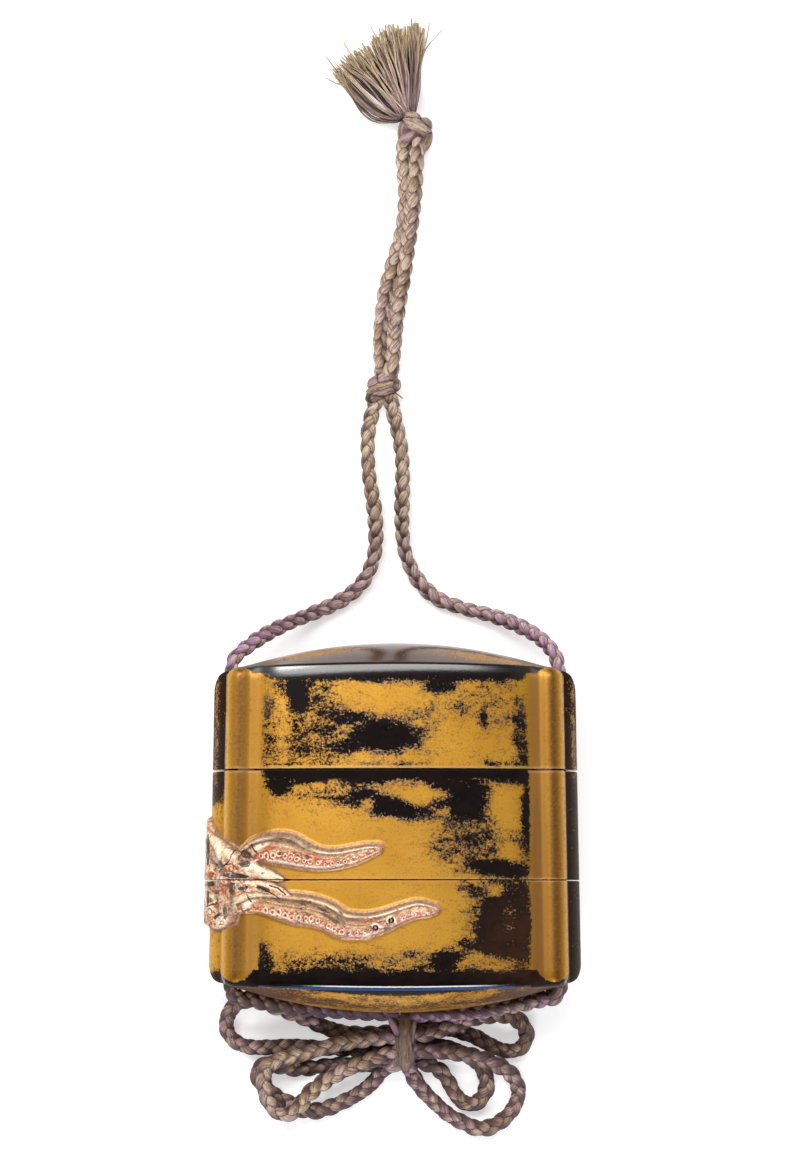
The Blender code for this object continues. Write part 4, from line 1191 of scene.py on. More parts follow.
LOWER_PATCHES = (
    (18.4, -17.0, 6.4, 10.5, 0, 1), (13.0, -11.0, 3.2, 2.0, -25, 0.62), (12.6, -20.0, 2.6, 3.0, 30, 0.60),
    (8.6, -22.6, 4.6, 2.4, 12, 0.9), (16.6, -10.6, 1.7, 1.1, 0, -0.55), (19.0, -15.5, 1.6, 3.0, 0, -0.30),
    (15.6, -23.0, 4.6, 1.5, 0, -0.72), (-3.0, -23.0, 21.0, 3.0, 1, 0.60), (-12.0, -24.2, 9.0, 1.0, 0, 0.8),
    (-0.8, -22.9, 3.6, 1.7, 0, -0.35), (-22.2, -22.4, 2.4, 3.6, 12, 0.80), (-16.0, -23.4, 4.0, 1.4, -6, 0.6),
    (-4.0, -18.4, 11.0, 2.6, 0, -0.6))


def patched(x, y, worn, patches):
    """How far the gold is worn down to the black lacquer, from 0 to 1, built up patch by patch."""
    for *oval, amount in patches:
        a, b = in_oval(x, y, *oval)
        share = 1 - soft_step(np.sqrt(a * a + b * b), 0.25, 1.55)
        worn = np.maximum(worn, amount * share) if amount > 0 else worn * (1 + amount * share)
    return worn


def lid_front_wear(x, y):
    """Wear on the front of the lid: patches, a ragged top edge and a line at the seam."""
    worn = patched(x, y, 0.10, LID_PATCHES)
    worn = np.maximum(worn, 1.05 * soft_step(y, 22.4 + 0.0016 * (x - 2) ** 2, 25.4)
                      * soft_step(x, -24.5, -19.0) * (1 - soft_step(x, 20.5, 23.5)))
    worn = np.maximum(worn, 0.62 * soft_step(-y, -11.1, -10.4)
                      * (1 - 0.75 * soft_step(np.abs(x + 1), 3, 9) * (np.abs(x + 1) < 16)))
    return worn * soft_step(y, 9.6, 9.95)


def middle_front_wear(x, y):
    """Wear on the front of the middle case: patches and a broad band under the seam."""
    worn = patched(x, y, 0.06, MIDDLE_PATCHES)
    worn = np.maximum(worn, 1.05 * soft_step(y, 5.2 + 0.6 * np.sin(x * 0.5), 9.0)
                      * soft_step(x, -24.6, -20.0) * (1 - soft_step(x, 23.0, 24.0)))
    return patched(x, y, worn, [(-12.0, -3.5, 13.0, 5.0, 0, -0.9)])


def lower_front_wear(x, y):
    """Wear on the front of the lower case: patches and a ragged lower edge."""
    worn = patched(x, y, 0.05, LOWER_PATCHES)
    return np.maximum(worn, 1.1 * soft_step(-y, 22.4 + 0.0012 * x * x, 25.4)
                      * soft_step(x, -25.0, -21.6) * (1 - soft_step(x, 22.4, 24.6)))


def back_wear(x, y, seed):
    """The back is worn in the same way, but more simply: where it is held and lies."""
    worn = patched(x, y, 0.12, (
        (3.0 - 2.0 * seed, 17.0 - 14.0 * seed, 12.0, 5.0, 8 - 9 * seed, 0.75),
        (-14.0 + 5.0 * seed, 20.0 - 15.0 * seed, 6.0, 3.0, -12, 0.55),
        (18.0 - 3.0 * seed, 15.0 - 14.5 * seed, 4.0, 5.0, 0, 0.62)))
    ends = soft_step(y, 24.6, 26.0) + soft_step(-y, 24.0, 25.6)
    return np.maximum(worn, 0.75 * ends * (np.abs(x) < 23.5))


WEAR = {"lid": lid_front_wear, "upper_case": middle_front_wear, "lower_case": lower_front_wear}


def side_strip_wear(x, y):
    """The narrow side walls are black, with gold left on the lower left."""
    left = x < 0
    black = np.full(len(x), 0.86)
    black = np.where(left & (y < 7.0), 0.16 + 0.7 * soft_step(y, 1.6, 6.8), black)
    black = np.where(left & (y < -22.5), 0.16 + 0.75 * soft_step(-y, 23.5, 25.0), black)
    return black


def dome_finish(x, reach, front, top):
    """Over the domed ends: how patchy the finish is, how far it is worn, and its brown tint."""
    patch = np.maximum(bell(x, -13, 9) * bell(reach, 0.56, 0.17), bell(x, 15.5, 10) * bell(reach, 0.70, 0.17))
    patch = np.maximum(patch, 0.8 * bell(reach, 0.05, 0.30) * soft_step(np.abs(x), 4, 9))
    above = np.where(front, 1.0 - 0.95 * patch, 0.86 - 0.4 * bell(reach, 0.22, 0.20))
    below = (0.34 + 0.72 * soft_step(reach, 0.88, 0.98) + 0.30 * soft_step(np.abs(x), 10, 25)
             + 0.24 * bell(reach, 0.50, 0.16))
    brown = np.where(top, 0.30 + 0.5 * patch, 0.40 * (1 - soft_step(reach, 0.85, 0.95)))
    return patch, np.where(top, above, below), brown


def finish_attributes(obj, name):
    """Works out, at each point of the mesh, what the lacquer's material needs."""
    mesh = obj.data
    points = points_of(mesh)
    x, y, z = points.T
    w = z - MID_Z
    u = np.abs(x / spread(y))
    front = w > 0
    top = y > 0
    on_dome = (np.abs(y) > end_edge(u) - 0.03) & (np.abs(x) < 30.2)
    on_side = (u > 28.55) & (np.abs(w) < SIDE_WALL_HALF)
    on_rib = (u > 23.6) & ~on_side
    # the gold of the ribs is kept, apart from a ragged outer edge and their two ends
    worn = np.where(front, WEAR[name](x, y), back_wear(x, y, list(WEAR).index(name)))
    worn = worn * (1 - 0.95 * soft_step(u, 22.0, 23.0) * ~on_side)
    ragged = np.where(u > 28.0, 0.85 * soft_step(u, 28.2, 28.75), 0)
    worn = np.where(on_rib, np.maximum(worn, ragged * side_strip_wear(x, y) / 0.8), worn)
    past = np.minimum(np.abs(u - RIB_CENTRE - 0.1) / 2.2, np.where(top, 0.95, 1.3))
    arch = np.where(top, 26.65, 26.05) - 1.05 * past ** 2.4
    worn = np.maximum(worn, 1.6 * soft_step(np.abs(y), arch - 0.30, arch + 0.30) * soft_step(u, 20.0, 21.5))
    wall = soft_step(u, 28.4, 28.8) * (1 - soft_step(np.abs(w), 5.5, 8.0))
    worn = worn * (1 - wall) + side_strip_wear(x, y) * wall
    reach = np.clip(np.abs(w) / 11.6, 0, 1)
    patch, dome_worn, dome_brown = dome_finish(x, reach, front, top)
    worn = np.where(on_dome & ~on_side, dome_worn, worn)
    brown = np.where(on_side, 0.12, 0.15 * bell(x, 20, 6) * bell(y, -19, 8) * front)
    brown = np.where(on_dome, dome_brown, brown)
    # the crests of the ribs are rubbed brown, which also paints their dark reflection, and gold shows again
    # along the upper side walls
    rub_and_reflection = bell(u, RIB_CENTRE + np.where(x < 0, 0.15, 0.50), 1.05) * on_rib
    rub_and_reflection = np.where(on_dome & (np.abs(y) > 24.0), 0.5 * patch * front * top, rub_and_reflection)
    speckle = bell(u, 30.3, 0.5) * front * soft_step(y, 4.0, 9.0)
    seam = np.minimum(np.abs(y - UPPER_SEAM), np.abs(y - LOWER_SEAM))
    # painted shade: the valleys inside the ribs, more on the right, and the front from the upper seam down
    shaded = bell(u, 23.8, 1.3) * front * (np.abs(y) < 26) * (1 + 0.7 * (x > 0))
    shaded = shaded + 0.26 * front * soft_step(-y, -9.0, 2.0)
    # paler gold along the seams is a painted highlight on their rounded rims
    values = {"worn": worn - 0.40 * speckle, "rub_and_reflection": np.maximum(rub_and_reflection, 0.7 * speckle), "brown": brown,
              "seam_highlight": 1 - soft_step(seam, 0.16, 0.5), "shaded": shaded,
              "soft": soft_step(y, 15.0, 20.0) * (1 + 3 * soft_step(u, 18.5, 23.0)) / 4}
    if name == "lid":
        values.update({key: np.zeros(len(points)) for key in RELIEF_KEYS})
        values["sucker"] = np.full(len(points), NO_SUCKER)
    else:
        fields = relief_fields(points)
        # painted shadow under the arms, kept with the painted shade
        values["shaded"] = np.maximum(shaded, 1.5 * fields["under"])
        values.update({key: fields[key] for key in (*RELIEF_KEYS, "sucker")})
    for key, value in values.items():
        attribute = mesh.attributes.new(key, "FLOAT", "POINT")
        attribute.data.foreach_set("value", np.asarray(value, np.float32))


# ---------------------------------------------------------------- lacquer


class Lacquer(Shader):
    """Gold-sprinkled lacquer, worn to the black ground in ragged patches, with painted relief."""

    def __init__(self, name, seed):
        super().__init__(name)
        shift = (3.1 * seed, 7.7 * seed, 1.3 * seed)
        self.point = self.node("VectorMath", {0: self.place(), 1: shift}, operation="ADD").outputs[0]
        wide = self.place((0.62, 1.1, 1.0), self.point)
        self.ragged = self.noise(wide, 0.55, 8.0, 0.72)
        self.grit = self.noise(self.point, 2.3, 4.0, 0.75)
        self.dust = self.noise(self.point, 6.5, 2.0, 0.7)
        self.broad = self.noise(self.point, 0.09, 2.0, 0.5)

    def roughen(self, value, field, amount):
        """The value, made uneven by one of the grains."""
        return self.plus(value, self.times(self.minus(field, 0.5), amount))

    def gold(self, level):
        """The sprinkled gold: broadly uneven, gritty, browner where it's thin, darkened with painted shade,
        browner where rubbed, which also paints the dark reflection of the rib crests, and paler along the
        seams as a painted highlight.
        """
        gold = self.mix(self.ramp(self.broad, 0.35, 0.65), (0.555, 0.267, 0.0165), (0.622, 0.320, 0.026))
        gold = self.mix(self.ramp(self.grit, 0.48, 0.72, 0.0, 0.55), gold, (0.33, 0.14, 0.018))
        gold = self.mix(self.ramp(self.dust, 0.5, 0.75, 0.0, 0.45), gold, (0.30, 0.12, 0.02))
        thin = self.ramp(level, 0.12, 0.44, 0.0, 0.6)
        gold = self.mix(thin, gold, (0.27, 0.115, 0.018))
        # painted shade
        shaded = self.attribute("shaded")
        gold = self.mix(self.times(shaded, 0.55, True), gold, (0.23, 0.095, 0.016))
        # rubbed brown, which also stands for the painted dark reflection on the rib crests
        rub_and_reflection = self.attribute("rub_and_reflection")
        rubbed_and_reflected = self.times(rub_and_reflection, self.ramp(self.grit, 0.3, 0.6, 0.72, 1.0))
        gold = self.mix(rubbed_and_reflected, gold, (0.150, 0.055, 0.009))
        # painted highlight: paler gold along the seams
        seam_highlight = self.attribute("seam_highlight")
        return self.mix(self.times(seam_highlight, 0.5), gold, (0.66, 0.36, 0.12))

    def ground(self):
        """The black under the gold, brown in places."""
        ragged = self.ragged
        ground = self.mix(self.ramp(ragged, 0.35, 0.7), (0.002, 0.0015, 0.0015), (0.009, 0.0035, 0.0025))
        return self.mix(self.times(self.attribute("brown"), self.ramp(ragged, 0.3, 0.6, 0.4, 1.0)), ground,
                        (0.17, 0.065, 0.022))

    def skin(self, soft_skin):
        """The painted skin: its tints and spots, then painted highlights, suckers, grooves partly darkened
        with painted shade, stains with some painted shade, and cracks over them.
        """
        skin = self.mix(self.ramp(soft_skin, 0.36, 0.66), (0.80, 0.525, 0.305), (0.46, 0.20, 0.083))
        skin = self.mix(self.ramp(self.grit, 0.50, 0.60, 0.0, 0.7), skin, (0.20, 0.075, 0.028))
        middle = self.times(self.attribute("mid"), self.ramp(self.grit, 0.36, 0.56, 0.45, 1.0), True)
        speckled = self.mix(self.ramp(self.dust, 0.42, 0.6), (0.50, 0.25, 0.10), (0.15, 0.058, 0.02))
        skin = self.mix(middle, skin, speckled)
        skin = self.mix(self.times(self.attribute("lilac"), 0.85, True), skin, (0.34, 0.25, 0.275))
        # pale cream paint and painted highlights
        skin = self.mix(self.times(self.attribute("cream_and_highlight"), 1.0, True), skin, (0.96, 0.81, 0.60))
        red = self.attribute("red")
        spots = self.ramp(self.noise(self.point, 2.2, 3.0, 0.65), 0.44, 0.52)
        skin = self.mix(self.times(red, spots, True), skin, (0.44, 0.085, 0.032))
        sucker = self.attribute("sucker")
        ring = self.times(self.ramp(sucker, 0.35, 0.62), self.ramp(sucker, 0.88, 1.08, 1.0, 0.0))
        ring = self.times(ring, self.ramp(self.grit, 0.40, 0.58, 1.0, 0.45))
        pit = self.times(self.ramp(sucker, 0.30, 0.50, 1.0, 0.0), 0.9)
        skin = self.mix(ring, skin, (0.90, 0.66, 0.45))
        skin = self.mix(pit, skin, (0.17, 0.03, 0.014))
        moat = self.times(self.ramp(sucker, 0.98, 1.12), self.ramp(sucker, 1.25, 1.5, 1.0, 0.0))
        skin = self.mix(self.times(moat, self.ramp(soft_skin, 0.42, 0.58, 0.25, 0.95)), skin,
                        (0.27, 0.055, 0.02))
        # grooves and creases darkened, partly with painted shade
        groove = self.attribute("groove")
        skin = self.mix(self.times(groove, self.ramp(self.ragged, 0.35, 0.55, 0.55, 1.0)), skin,
                        (0.070, 0.036, 0.022))
        # dark stains, partly painted shade
        stain_and_shade = self.roughen(self.attribute("stain_and_shade"), self.ragged, 1.3)
        stain_and_shade = self.roughen(stain_and_shade, self.grit, 0.9)
        skin = self.mix(self.ramp(stain_and_shade, 0.42, 0.56, 0.0, 0.92), skin, (0.050, 0.020, 0.010))
        stains = self.ramp(self.noise(self.point, 0.75, 5.0, 0.7, distortion=0.8), 0.56, 0.62)
        skin = self.mix(self.times(stains, 0.85), skin, (0.10, 0.042, 0.018))
        crack = self.attribute("crack")
        return self.mix(self.ramp(crack, 0.25, 0.7), skin, (0.02, 0.008, 0.007)), ring

    def outline(self):
        """The brown shade that is brushed round the painted relief."""
        shade = self.mix(self.ramp(self.grit, 0.35, 0.62), (0.44, 0.245, 0.14), (0.20, 0.10, 0.068))
        return self.mix(self.ramp(self.dust, 0.54, 0.66, 0.0, 0.6), shade, (0.60, 0.33, 0.08))


def lacquer_material(name, seed, gloss=0.5, polish=0.10):
    """The lacquer of one stage of the case."""
    paint = Lacquer(name, seed)
    level = paint.roughen(paint.attribute("worn"), paint.ragged, 1.5)
    level = paint.roughen(level, paint.grit, 1.5)
    level = paint.roughen(level, paint.dust, 0.95)
    flesh = paint.attribute("flesh")
    halo = paint.attribute("halo")
    level = paint.minus(level, paint.larger(flesh, halo))
    black = paint.ramp(level, 0.44, 0.54)
    colour = paint.mix(black, paint.gold(level), paint.ground())
    soft_skin = paint.noise(paint.point, 1.1, 4.0, 0.6)
    skin, ring = paint.skin(soft_skin)
    colour = paint.mix(paint.ramp(halo, 0.0, 1.0, 0.0, 0.92), colour, paint.outline())
    colour = paint.mix(paint.ramp(flesh, 0.4, 0.6), colour, skin)
    paint.put("Base Color", colour)

    painted = paint.ramp(flesh, 0.3, 0.7)
    bare = paint.larger(paint.larger(black, painted), paint.times(halo, 0.8))
    metal = paint.times(paint.minus(1.0, bare, True), 0.62)
    paint.put("Metallic", metal)
    ground_rough = paint.ramp(paint.attribute("soft"), 0.0, 1.0, polish, polish + 0.32)
    rough = paint.blend(black, paint.ramp(paint.grit, 0.2, 0.8, 0.36, 0.52), ground_rough)
    rough = paint.blend(painted, rough, 0.30)
    paint.put("Roughness", rough)
    paint.put("Specular IOR Level", gloss)
    paint.put("IOR", 1.58)
    relief = paint.minus(paint.times(paint.grit, 0.5), paint.times(black, 0.5))
    relief = paint.plus(relief, paint.times(paint.times(soft_skin, flesh), 1.5))
    relief = paint.plus(relief, paint.times(ring, 1.2))
    paint.bump(relief, 0.35, 0.06)
    return paint.material


def inside_material():
    """The inside is plain black lacquer with a thin sprinkle of gold dust."""
    paint = Shader("inside_lacquer")
    flake = paint.ramp(paint.noise(paint.place(), 3.5, 2.0, 0.5), 0.66, 0.70)
    paint.put("Base Color", paint.mix(flake, (0.016, 0.007, 0.005), (0.42, 0.22, 0.05)))
    paint.put("Metallic", paint.times(flake, 0.6))
    paint.put("Roughness", paint.blend(flake, 0.16, 0.38))
    return paint.material


def make_case():
    """The lid and the two cases, hollow, bored for the cord and finished."""
    inside = inside_material()
    plain = front_chain(plain_spacing)
    fine = front_chain(relief_spacing)
    up_low = UPPER_SEAM + UPPER_GAP / 2
    up_high = UPPER_SEAM - UPPER_GAP / 2
    down_low = LOWER_SEAM + LOWER_GAP / 2
    down_high = LOWER_SEAM - LOWER_GAP / 2

    socket_top = LIP_HEIGHT + 0.3
    lid = Rings(plain)
    lid.hollow_end(1)
    lid.hollow(UPPER_SEAM + socket_top, CAVITY_HALF, WALL)
    lid.socket(UPPER_SEAM + socket_top, up_low)
    wall_rings(lid, 1, up_low, 21.0, 0.5, 0.5)
    lid = lid.solid("lid_shell", True, True)

    upper = Rings(fine)
    upper.socket(LOWER_SEAM + socket_top, down_low)
    upper.face(0, down_low, inset=RIM)
    for height in (*rise(down_low + RIM, 4.6, 0.14), *rise(4.6, up_high - RIM, 0.5)[1:]):
        upper.face(0, height)
    upper.face(0, up_high, inset=RIM)
    for ring in lip_rings(UPPER_SEAM, up_high):
        upper.hollow(*ring)
    upper.hollow(LOWER_SEAM + socket_top + FLOOR, CAVITY_HALF, WALL)
    upper = upper.solid("upper_case_shell", False, False, with_relief)

    lower = Rings(fine)
    lower.hollow_end(-1)
    for ring in reversed(lip_rings(LOWER_SEAM, down_high)):
        lower.hollow(*ring)
    wall_rings(lower, -1, -down_high, 18.2, 0.14, 0.45)
    lower = lower.solid("lower_case_shell", True, True, with_relief)

    for seed, (shell, node) in enumerate(((lid, "lid"), (upper, "upper_case"), (lower, "lower_case"))):
        cut_channels(shell)
        shell.data.materials.clear()
        shell.data.materials.append(lacquer_material(node + "_look", seed))
        shell.data.materials.append(inside)
        shell.data.materials.append(lacquer_material(node + "_side_look", seed, 0.06, 0.48))
        finish_attributes(shell, node)
        mark_faces(shell)
        shell.data.shade_smooth()
        shell.data.set_sharp_from_angle(angle=math.radians(38))
        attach(shell, "root")
        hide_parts(node)


def mark_faces(obj):
    """Gives the cavities, lips, sockets and bores the inside finish, and duller sides and base."""
    mesh = obj.data
    outer = np.zeros(len(mesh.vertices), np.float32)
    mesh.attributes["outer"].data.foreach_get("value", outer)
    x, y, z = points_of(mesh).T
    u = np.abs(x / spread(y))
    side = (u > 28.15) & (np.abs(z - MID_Z) < SIDE_WALL_HALF)
    side |= (-y > end_edge(u) + 0.02) | ((u > 22.3) & (y < -23.8) & (u < 28.0))
    index = []
    for face in mesh.polygons:
        corners = list(face.vertices)
        index.append(1 if outer[corners].min() < 0.5 else 2 if side[corners].all() else 0)
    mesh.polygons.foreach_set("material_index", np.array(index, np.int32))


# ---------------------------------------------------------------- knots


def turn_about(tilt):
    """Axes of a lobe: the first along it, turned by tilt in degrees from +X, and the last +Z."""
    c, s = math.cos(math.radians(tilt)), math.sin(math.radians(tilt))
    return np.array([(c, s, 0), (-s, c, 0), (0, 0, 1)])


def lobed_body(name, centre, lobes, material, thin):
    """A knot seen from outside: the outermost of several smooth lobes in each direction.

    Each lobe is its place, its half sizes, its tilt in degrees, whether its fibres go round it, and
    its tints: mauve, shade and tint.
    """
    bm = bmesh.new()
    bmesh.ops.create_icosphere(bm, subdivisions=5, radius=1.0)
    rays = np.array([v.co[:] for v in bm.verts])
    faces = [[v.index for v in f.verts] for f in bm.faces]
    bm.free()
    rays /= np.linalg.norm(rays, axis=1, keepdims=True)
    centre = np.array(centre)
    reach = np.zeros((len(lobes), len(rays)))
    ways = np.zeros((len(lobes), len(rays), 3))
    for i, lobe in enumerate(lobes):
        place, sizes, tilt, around = lobe[:4]
        axes = turn_about(tilt)
        sizes = np.array(sizes)
        start = axes @ (centre - np.array(place)) / sizes
        heading = (rays @ axes.T) / sizes
        a = (heading ** 2).sum(1)
        b = heading @ start
        c = start @ start - 1
        root = b * b - a * c
        far = np.where(root > 0, (-b + np.sqrt(np.clip(root, 0, None))) / a, 0)
        reach[i] = np.clip(far, 0, None)
        local = (start + heading * reach[i][:, None]) * sizes
        if around:
            turned = np.arctan2(local[:, 2], local[:, 0]) * sizes[0]
            ways[i] = np.stack([turned, local[:, 1], np.full(len(rays), 3.7 * i)], 1)
        else:
            turned = np.arctan2(local[:, 2], local[:, 1]) * sizes[1]
            ways[i] = np.stack([local[:, 0], turned, np.full(len(rays), 3.7 * i)], 1)
    order = np.argsort(reach, axis=0)
    first = order[-1]
    pick = np.arange(len(rays))
    best = reach[first, pick]
    second = reach[order[-2], pick]
    points = centre + rays * best[:, None]
    way = ways[first, pick]
    bundle = 0.03 * np.sin(way[:, 1] * 9 + 1.3 * np.sin(way[:, 0] * 1.3 + way[:, 2]))
    points += rays * bundle[:, None]
    points[:, 2] = np.maximum(points[:, 2], 0.02)
    tints = np.array([lobe[4] for lobe in lobes])[first]
    # the creases between lobes get painted shade through their height
    gap = np.clip((best - second) / 0.42, 0.12, 1)
    values = [points], [faces], [gap], [way], [tints]
    for i, strand in enumerate(thin):
        add_tube(values, smooth_route(strand, 0.25), 0.13, 6, 0.9, 11.0 + i, (0.2, 0.3, 0.5))
    return joined_piece(name, values, material)


def add_tube(values, route, radius, sides, height, grain, tints, taper=1.0):
    """Adds a thin closed tube to the lists of points, faces, heights, ways and tints."""
    points, faces, heights, ways, tint_list = values
    side, up = path_frames(route)
    angle = np.linspace(0, 2 * math.pi, sides, endpoint=False)
    thick = np.broadcast_to(radius, (len(route),)) * np.linspace(1, taper, len(route))
    surface = route[:, None] + thick[:, None, None] * round_path(side, up, angle)
    first = sum(len(p) for p in points)
    points.append(surface.reshape(-1, 3))
    faces.append([[first + v for v in face] for face in tube_faces(len(route), sides)])
    count = len(route) * sides
    walked = walk(route)
    heights.append(np.repeat(np.broadcast_to(height, (len(route),)), sides))
    ways.append(np.stack([np.repeat(walked, sides), np.tile(angle * 0.12, len(route)),
                          np.full(count, grain)], 1))
    tint_list.append(np.repeat(np.broadcast_to(np.array(tints), (len(route), 3)), sides, axis=0))


def joined_piece(name, values, material):
    """One piece made of the lists of points, faces, heights, ways and tints."""
    points, faces, heights, ways, tints = values
    tints = np.concatenate(tints)
    attributes = {"height": np.concatenate(heights), "way": np.concatenate(ways),
                  "mauve": tints[:, 0], "shade": tints[:, 1], "tint": tints[:, 2]}
    obj = build_mesh(name, np.concatenate(points), [f for group in faces for f in group], attributes,
                     materials=[material])
    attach(obj, "root")
    return obj


def make_knots():
    """The binding knot, the end knot and the wrap round the bow."""
    silk = silk_material("knotted_silk_look", (0.47, 0.34, 0.25), (0.25, 0.155, 0.085), (0.060, 0.028, 0.032),
                         (0.37, 0.22, 0.31), 1.0, 4.0)
    binding = lobed_body("binding_knot_silk", (-2.0, 75.75, 2.3), [
        ((-1.55, 77.25, 2.35), (2.25, 1.15, 2.0), 27, True, (0.75, -0.20, 0.2)),
        ((-3.45, 76.5, 2.2), (1.45, 1.10, 1.8), 35, True, (0.40, 0.10, 0.5)),
        ((-2.15, 75.65, 2.40), (2.95, 0.95, 2.25), 17, True, (0.05, -0.15, 0.6)),
        ((-2.05, 74.75, 2.3), (2.65, 0.90, 2.1), 19, True, (0.35, 0.20, 0.5)),
        ((-3.0, 74.15, 2.15), (2.05, 0.95, 1.9), 20, True, (0.30, 0.30, 0.6)),
        ((-4.15, 73.9, 2.0), (1.00, 0.95, 1.6), 22, True, (0.0, 0.75, 1.0)),
        ((-0.2, 76.1, 2.2), (0.95, 1.5, 1.8), -10, True, (0.30, 0.35, 0.6)),
        ((-1.6, 78.1, 2.0), (1.2, 0.75, 1.5), 12, True, (0.60, 0.25, 0.5)),
    ], silk, (
        [(-0.2, 77.0, 3.2), (0.7, 76.8, 2.9), (0.95, 76.0, 2.5), (0.6, 75.2, 2.2), (-0.1, 74.8, 2.2)],
        [(-0.3, 75.0, 2.4), (0.4, 74.5, 2.0), (1.0, 74.1, 1.3), (1.3, 73.9, 0.6)],
        [(-0.4, 74.4, 2.4), (0.2, 73.5, 2.9), (0.6, 73.0, 2.4), (0.75, 72.5, 1.6)],
    ))
    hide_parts("binding_knot")
    end = lobed_body("end_knot_silk", (3.3, 120.0, 2.5), [
        ((2.95, 122.2, 2.4), (1.60, 1.25, 1.75), -14, True, (0.15, -0.20, 0.1)),
        ((3.75, 120.75, 2.75), (2.75, 1.25, 2.15), -24, True, (0.15, -0.15, 0.2)),
        ((5.0, 120.9, 2.3), (1.40, 1.50, 1.9), -40, False, (0.20, 0.15, 0.5)),
        ((1.55, 120.3, 2.2), (2.10, 1.05, 1.8), 76, False, (0.20, 0.18, 0.5)),
        ((2.1, 118.75, 2.6), (1.75, 0.95, 1.95), 28, True, (0.50, 0.05, 0.3)),
        ((5.15, 118.1, 2.2), (2.25, 1.10, 1.9), 66, False, (0.0, 0.40, 0.9)),
        ((3.6, 118.6, 2.4), (1.4, 1.1, 1.8), 0, False, (0.1, 0.7, 0.8)),
    ], silk, (
        [(3.2, 122.9, 3.2), (3.9, 122.7, 3.6), (4.6, 122.0, 3.3), (4.9, 121.5, 2.7)],
    ))
    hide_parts("end_knot")
    wrap = lobed_body("bow_wrap_silk", (1.8, -36.0, 3.6), [
        ((1.75, -35.7, 3.65), (5.5, 1.92, 3.6), 91, False, (0.05, 0.42, 0.60)),
        ((0.30, -34.0, 3.7), (3.7, 0.85, 3.1), 116, False, (0.95, 0.20, 0.2)),
        ((2.95, -35.0, 3.5), (4.6, 0.62, 3.3), 86, False, (0.35, 0.30, 0.5)),
        ((0.55, -38.4, 3.3), (2.2, 0.8, 2.6), 70, False, (0.45, 0.30, 0.4)),
        ((0.2, -40.0, 3.3), (2.00, 1.25, 2.1), 22, False, (0.30, 0.12, 0.5)),
        ((2.6, -40.4, 3.0), (1.25, 0.95, 1.9), -35, False, (0.45, 0.20, 0.4)),
    ], silk, (
        [(2.2, -40.0, 4.6), (3.3, -40.9, 4.3), (4.2, -41.9, 3.2), (4.6, -42.8, 1.9)],
    ))
    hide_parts("bow_wrap")
    return binding, end, wrap


# ---------------------------------------------------------------- the tassel

TASSEL_ROOT = (2.3, 122.9, 2.4)
TASSEL_TIPS = [
    (-10.6, 129.6), (-11.6, 132.0), (-9.9, 132.9), (-8.6, 134.4), (-7.0, 134.6), (-5.4, 137.0),
    (-3.7, 137.0), (-2.6, 138.2), (-1.0, 139.4), (0.9, 139.4), (2.2, 139.3), (3.6, 139.8), (4.4, 139.2),
    (5.2, 137.2)]
UNDER_YARNS = 56
UPPER_YARNS = 60
FIBRES = 5                    # in each yarn
YARN_RADIUS = 0.105
FIBRE_RADIUS = 0.08
YARN_POINTS = 26
LOOSE_FIBRES = (
    ((-7.4, 128.8, 1.2), (-9.6, 128.4, 0.7), (-12.0, 129.6, 0.3)),
    ((4.4, 131.5, 1.4), (5.3, 134.5, 0.9), (8.2, 138.0, 0.4)),
    ((4.6, 133.0, 1.2), (5.4, 136.0, 0.8), (5.9, 139.2, 0.4)),
    ((-6.2, 131.2, 2.0), (-7.6, 133.4, 1.6), (-8.9, 135.6, 1.2)),
    ((-2.6, 134.6, 2.0), (-3.4, 136.6, 1.8), (-4.2, 138.3, 1.5)),
    ((-8.6, 129.9, 1.0), (-10.4, 131.2, 0.7), (-12.0, 133.4, 0.4)))


def yarn_line(random, share, under):
    """Centre line of one yarn, from the end knot to its place along the row of tips, and its reach."""
    tips = np.array(TASSEL_TIPS)
    at = np.linspace(0, 1, len(tips))
    root = np.array(TASSEL_ROOT)
    t = np.linspace(0, 1, YARN_POINTS)
    across_root = np.clip(share + random.uniform(-0.22, 0.22), 0, 1)
    layer = random.uniform(-1, -0.3) if under else random.uniform(0, 1)
    short = random.uniform(0.02, 0.16) if under else random.uniform(0.0, 0.09)
    tip = np.array([np.interp(share, at, tips[:, 0]), np.interp(share, at, tips[:, 1])])
    tip = root[:2] + (tip - root[:2]) * (1 - short)
    start = root + np.array([-1.3 + 2.3 * across_root, -0.9 * (1 - across_root) ** 2, 0.9 * layer])
    reach = tip - start[:2]
    length = np.linalg.norm(reach)
    across = np.array([-reach[1], reach[0]]) / length
    bow = 3.1 * (1 - soft_step(share, 0.0, 0.22)) - 0.4 * soft_step(share, 0.8, 1.0)
    bow += random.uniform(-0.55, 0.55)
    low = 0.45 if under else 0.9 + 1.3 * layer
    wave = random.uniform(0.10, 0.60) * (0.5 if under else 1)
    phase = random.uniform(0, 6.3)
    turns = random.uniform(5.0, 10.0)
    curve = bow * np.sin(math.pi * t ** 0.8) * (1 - 0.45 * t) + wave * np.sin(turns * t + phase) * t
    line = start[:2] + reach * t[:, None] + across * curve[:, None]
    height = start[2] + (low - start[2]) * soft_step(t, 0.1, 1.0) + 0.6 * layer * np.sin(math.pi * t)
    return np.column_stack([line, np.clip(height, 0.4, 4.6)]), length


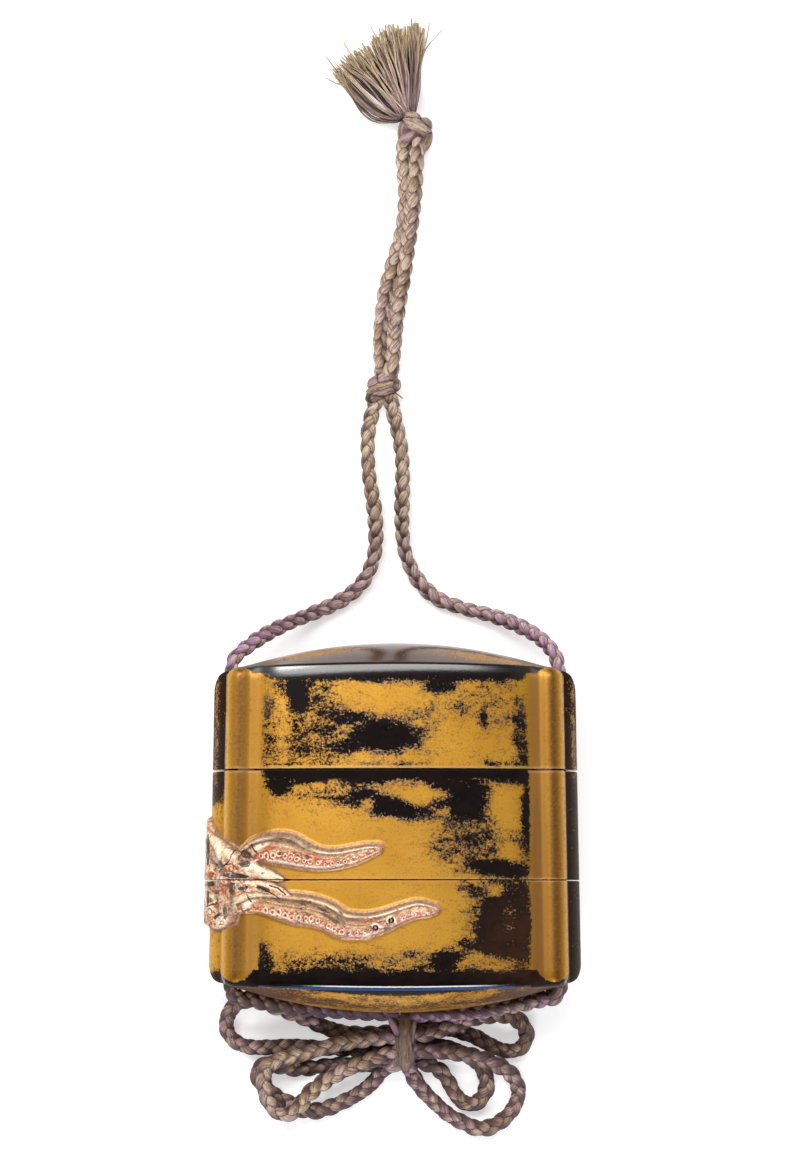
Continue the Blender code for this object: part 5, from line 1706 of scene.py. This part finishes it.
def add_yarn(values, random, line, length, under, number):
    """Adds the twisted fibres of one yarn, which come apart and turn paler towards the tip."""
    t = np.linspace(0, 1, YARN_POINTS)
    thick = 1.7 if under else 1.0
    tint = random.uniform(0, 1)
    dull = random.uniform(-0.30, 0.75)
    mauve = random.uniform(0.1, 0.9) * (1 - soft_step(t, 0.2, 0.7))
    twist = random.uniform(3.0, 4.4) * random.choice([-1, 1])
    side, up = path_frames(line)
    loose = soft_step(t, 0.60, 1.0)
    for j in range(FIBRES):
        uneven = random.uniform(-0.3, 0.4)
        turn = 2 * math.pi * j / FIBRES + random.uniform(-0.3, 0.3)
        spin = turn + twist * t * length / 3.2 * (1 - 0.6 * t)
        away = thick * YARN_RADIUS * (1 + 1.3 * loose * random.uniform(0.4, 1.6))
        route = line + (np.cos(spin) * away)[:, None] * side + (np.sin(spin) * away * 0.8)[:, None] * up
        route = route + side * (random.normal(0, 0.25) * loose)[:, None]
        cut = YARN_POINTS - random.integers(0, 3)
        here = t[:cut]
        route = route[:cut]
        route[:, 2] = np.maximum(route[:, 2], 0.14)
        # painted shade: the under layer stays dark, and each fibre darkens on the far side of its twist
        deep = 0.10 + 0.12 * random.uniform(0, 1) if under else 0.62 + 0.30 * np.sin(spin[:cut])
        deep = np.clip(deep + 0.30 * soft_step(here, 0.7, 1.0), 0.06, 1)
        shade = (0.45 * (1 - soft_step(here, 0.0, 0.22))
                 + (0.2 if under else dull + uneven) * (1 - 0.9 * soft_step(here, 0.6, 1.0)))
        tints = np.column_stack([mauve[:cut], shade,
                                 np.clip(0.5 * tint + 0.5 * soft_step(here, 0.5, 1.0), 0, 1)])
        add_tube(values, route, thick * FIBRE_RADIUS, 5, deep, number * 1.7 + j * 0.31, tints, 0.75)


def make_tassel():
    """Yarns of twisted fibres that fan out of the end knot, an under layer first, and a few loose ones."""
    silk = silk_material("frayed_silk_look", (0.62, 0.47, 0.35), (0.50, 0.37, 0.19), (0.075, 0.034, 0.045),
                         (0.46, 0.29, 0.33), 0.3, 3.0)
    random = np.random.default_rng(11)
    values = [], [], [], [], []
    for number in range(UNDER_YARNS + UPPER_YARNS):
        under = number < UNDER_YARNS
        share = (number + 0.5) / UNDER_YARNS if under else (number - UNDER_YARNS + 0.5) / UPPER_YARNS
        share = np.clip(share + random.uniform(-0.03, 0.03), 0, 1)
        share = 0.05 + 0.90 * share if under else share
        line, length = yarn_line(random, share, under)
        add_yarn(values, random, line, length, under, number)
    for points in LOOSE_FIBRES:
        add_tube(values, smooth_route(points, 0.5), 0.14, 5, 0.7, points[0][0], (0.1, 0.1, 0.4), 0.6)
    tassel = joined_piece("tassel_silk", values, silk)
    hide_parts("tassel")



add_camera()
add_floor()
add_studio()
cords = make_cords()
make_case()
binding, end, wrap = make_knots()
make_tassel()
for cord_name, (cord_obj, cord_points) in cords.items():
    if cord_name.startswith("bow"):
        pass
    elif cord_name.startswith("cord_pair"):
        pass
    else:
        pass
    declare(cord_points)
